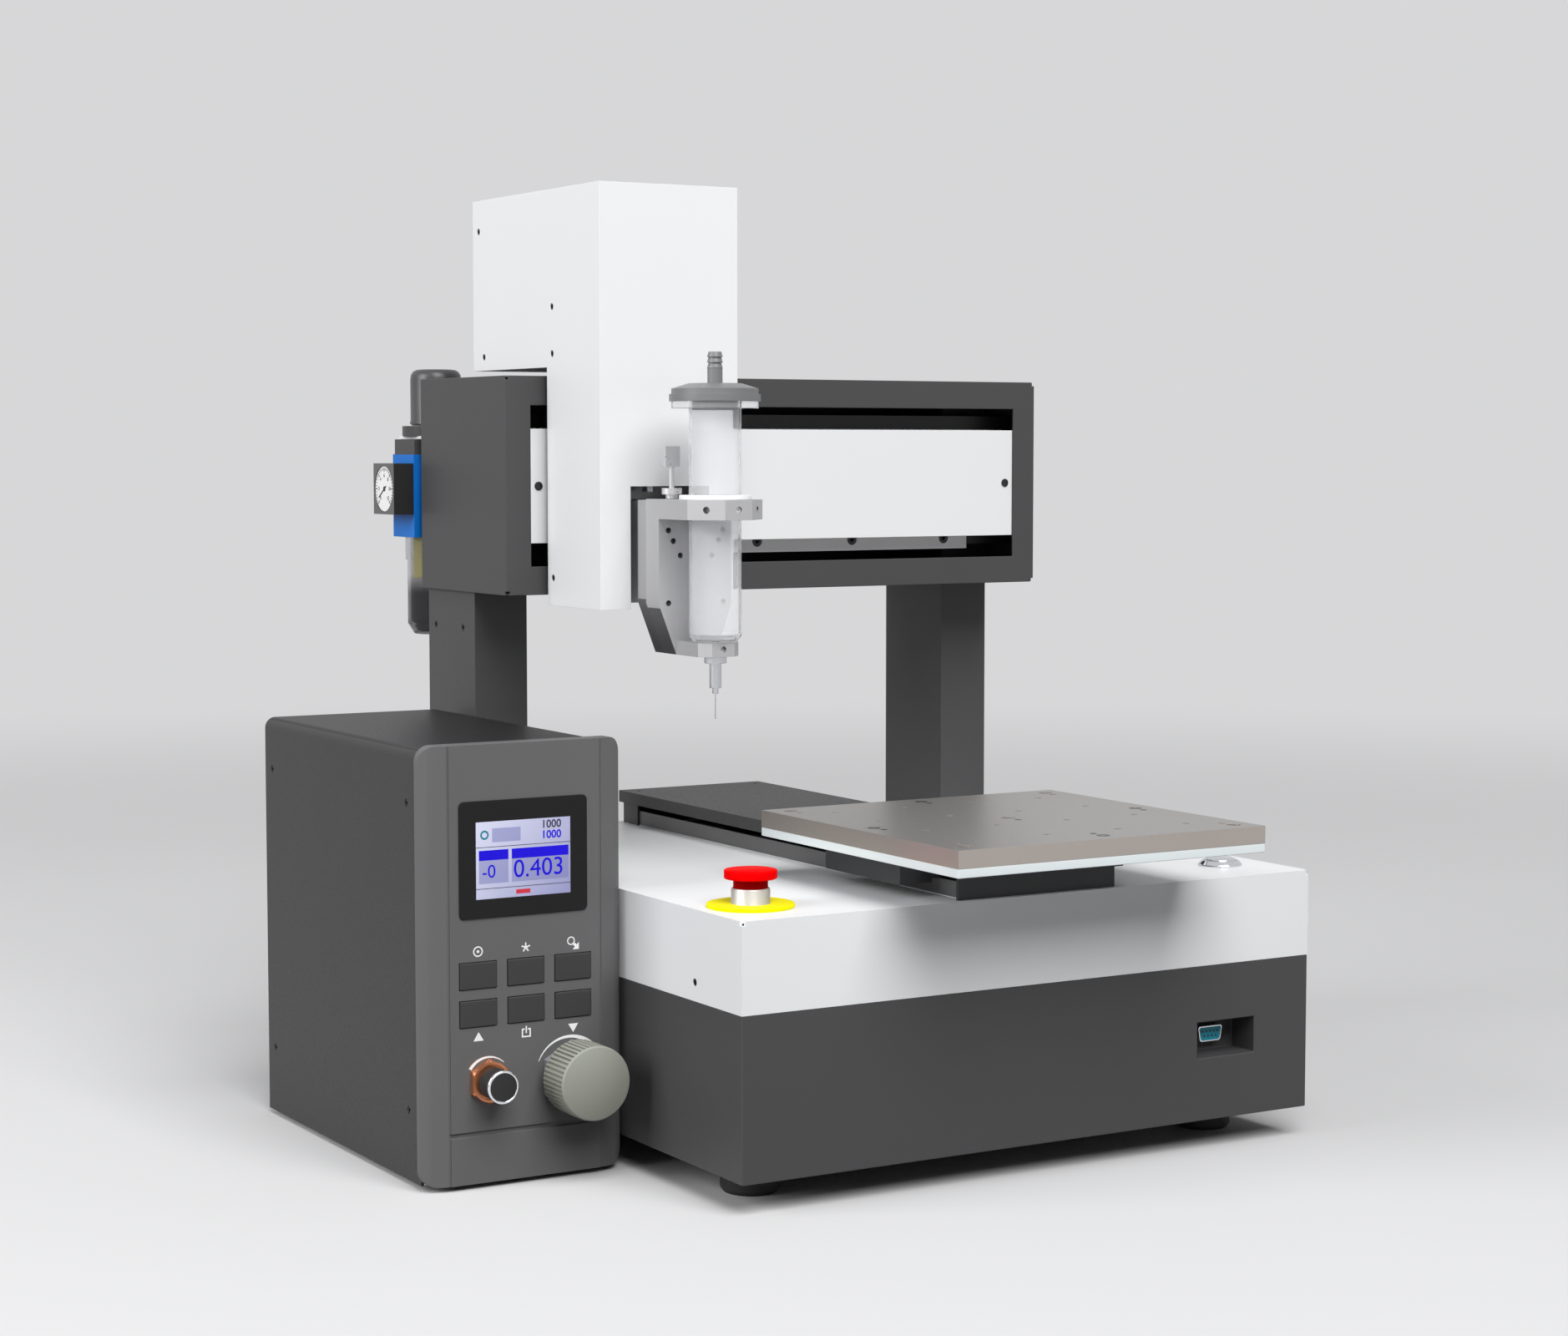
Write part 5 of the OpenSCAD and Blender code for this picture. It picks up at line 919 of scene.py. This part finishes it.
def floor_material():
    """Pale paper that fades into the backdrop's tone away from the object and throws little light back."""
    mat, tree, shader = new_material("floor_paper")
    paper = mix(tree, noise(tree, FLOOR_GRAIN), srgb(76, 76, 77), srgb(80, 80, 81))
    tone = mix(tree, seen_rays(tree), paper, srgb(212, 212, 213))
    tree.links.new(tone, shader.inputs["Base Color"])
    shader.inputs["Roughness"].default_value = FLOOR_ROUGH
    coords = tree.nodes.new("ShaderNodeTexCoord")
    away = tree.nodes.new("ShaderNodeVectorMath")
    away.operation = "LENGTH"
    fade = tree.nodes.new("ShaderNodeMapRange")
    fade.interpolation_type = "SMOOTHSTEP"
    fade.inputs["From Min"].default_value = FADE_START
    fade.inputs["From Max"].default_value = FADE_END
    glow = tree.nodes.new("ShaderNodeEmission")
    glow.inputs["Color"].default_value = BACKDROP
    joined = tree.nodes.new("ShaderNodeMixShader")
    tree.links.new(coords.outputs["Object"], away.inputs[0])
    tree.links.new(away.outputs["Value"], fade.inputs["Value"])
    tree.links.new(fade.outputs["Result"], joined.inputs["Fac"])
    tree.links.new(shader.outputs["BSDF"], joined.inputs[1])
    tree.links.new(glow.outputs["Emission"], joined.inputs[2])
    tree.links.new(joined.outputs["Shader"], tree.nodes["Material Output"].inputs["Surface"])
    return mat


floor_mesh = bpy.data.meshes.new("floor")
floor_corners = [(u, v, 0) for u, v in rectangle(-FLOOR_HALF, -FLOOR_HALF, FLOOR_HALF, FLOOR_HALF)]
floor_mesh.from_pydata(floor_corners, [], [(0, 1, 2, 3)])
floor = bpy.data.objects.new("floor", floor_mesh)
bpy.context.scene.collection.objects.link(floor)
floor_mesh.materials.append(floor_material())


def soft_light(name, place, target, size, power):
    """A square soft box that looks at a point."""
    lamp = bpy.data.lights.new(name, "AREA")
    lamp.shape = "SQUARE"
    lamp.size = size
    lamp.energy = power
    obj = bpy.data.objects.new(name, lamp)
    bpy.context.scene.collection.objects.link(obj)
    obj.location = place
    obj.rotation_euler = (Vector(target) - Vector(place)).to_track_quat("-Z", "Y").to_euler()


soft_light("key_light", (-0.5, -3.75, 4.6), (0.06, -0.1, 0.25), 4.2, 420.0)
soft_light("side_light", (-3.6, 0.2, 1.8), (0.0, 0.0, 0.25), 2.2, 100.0)

world = bpy.data.worlds.new("studio")
bpy.context.scene.world = world
world.use_nodes = True
world_tree = world.node_tree
sky = world_tree.nodes["Background"]
sky.inputs["Color"].default_value = SKY
sky.inputs["Strength"].default_value = SKY_STRENGTH
backdrop = world_tree.nodes.new("ShaderNodeBackground")
backdrop.inputs["Color"].default_value = BACKDROP
either_ground = world_tree.nodes.new("ShaderNodeMixShader")
world_tree.links.new(seen_rays(world_tree), either_ground.inputs["Fac"])
world_tree.links.new(sky.outputs["Background"], either_ground.inputs[1])
world_tree.links.new(backdrop.outputs["Background"], either_ground.inputs[2])
world_tree.links.new(either_ground.outputs["Shader"], world_tree.nodes["World Output"].inputs["Surface"])

# Camera of the photograph, solved from the object's edges
CAMERA_PLACE = at(-783.86, -1374.53, 394.06)
CAMERA_DOWN = 4.179
CAMERA_TURN = -30.509
camera_data = bpy.data.cameras.new("camera")
camera_data.sensor_fit = "HORIZONTAL"
camera_data.sensor_width = 36.0
camera_data.lens = 68.89
camera_data.dof.use_dof = False
camera = bpy.data.objects.new("camera", camera_data)
bpy.context.scene.collection.objects.link(camera)
camera.location = CAMERA_PLACE
camera.rotation_euler = (math.radians(90 - CAMERA_DOWN), 0.0, math.radians(CAMERA_TURN))
bpy.context.scene.camera = camera
bpy.context.scene.view_settings.view_transform = "Standard"
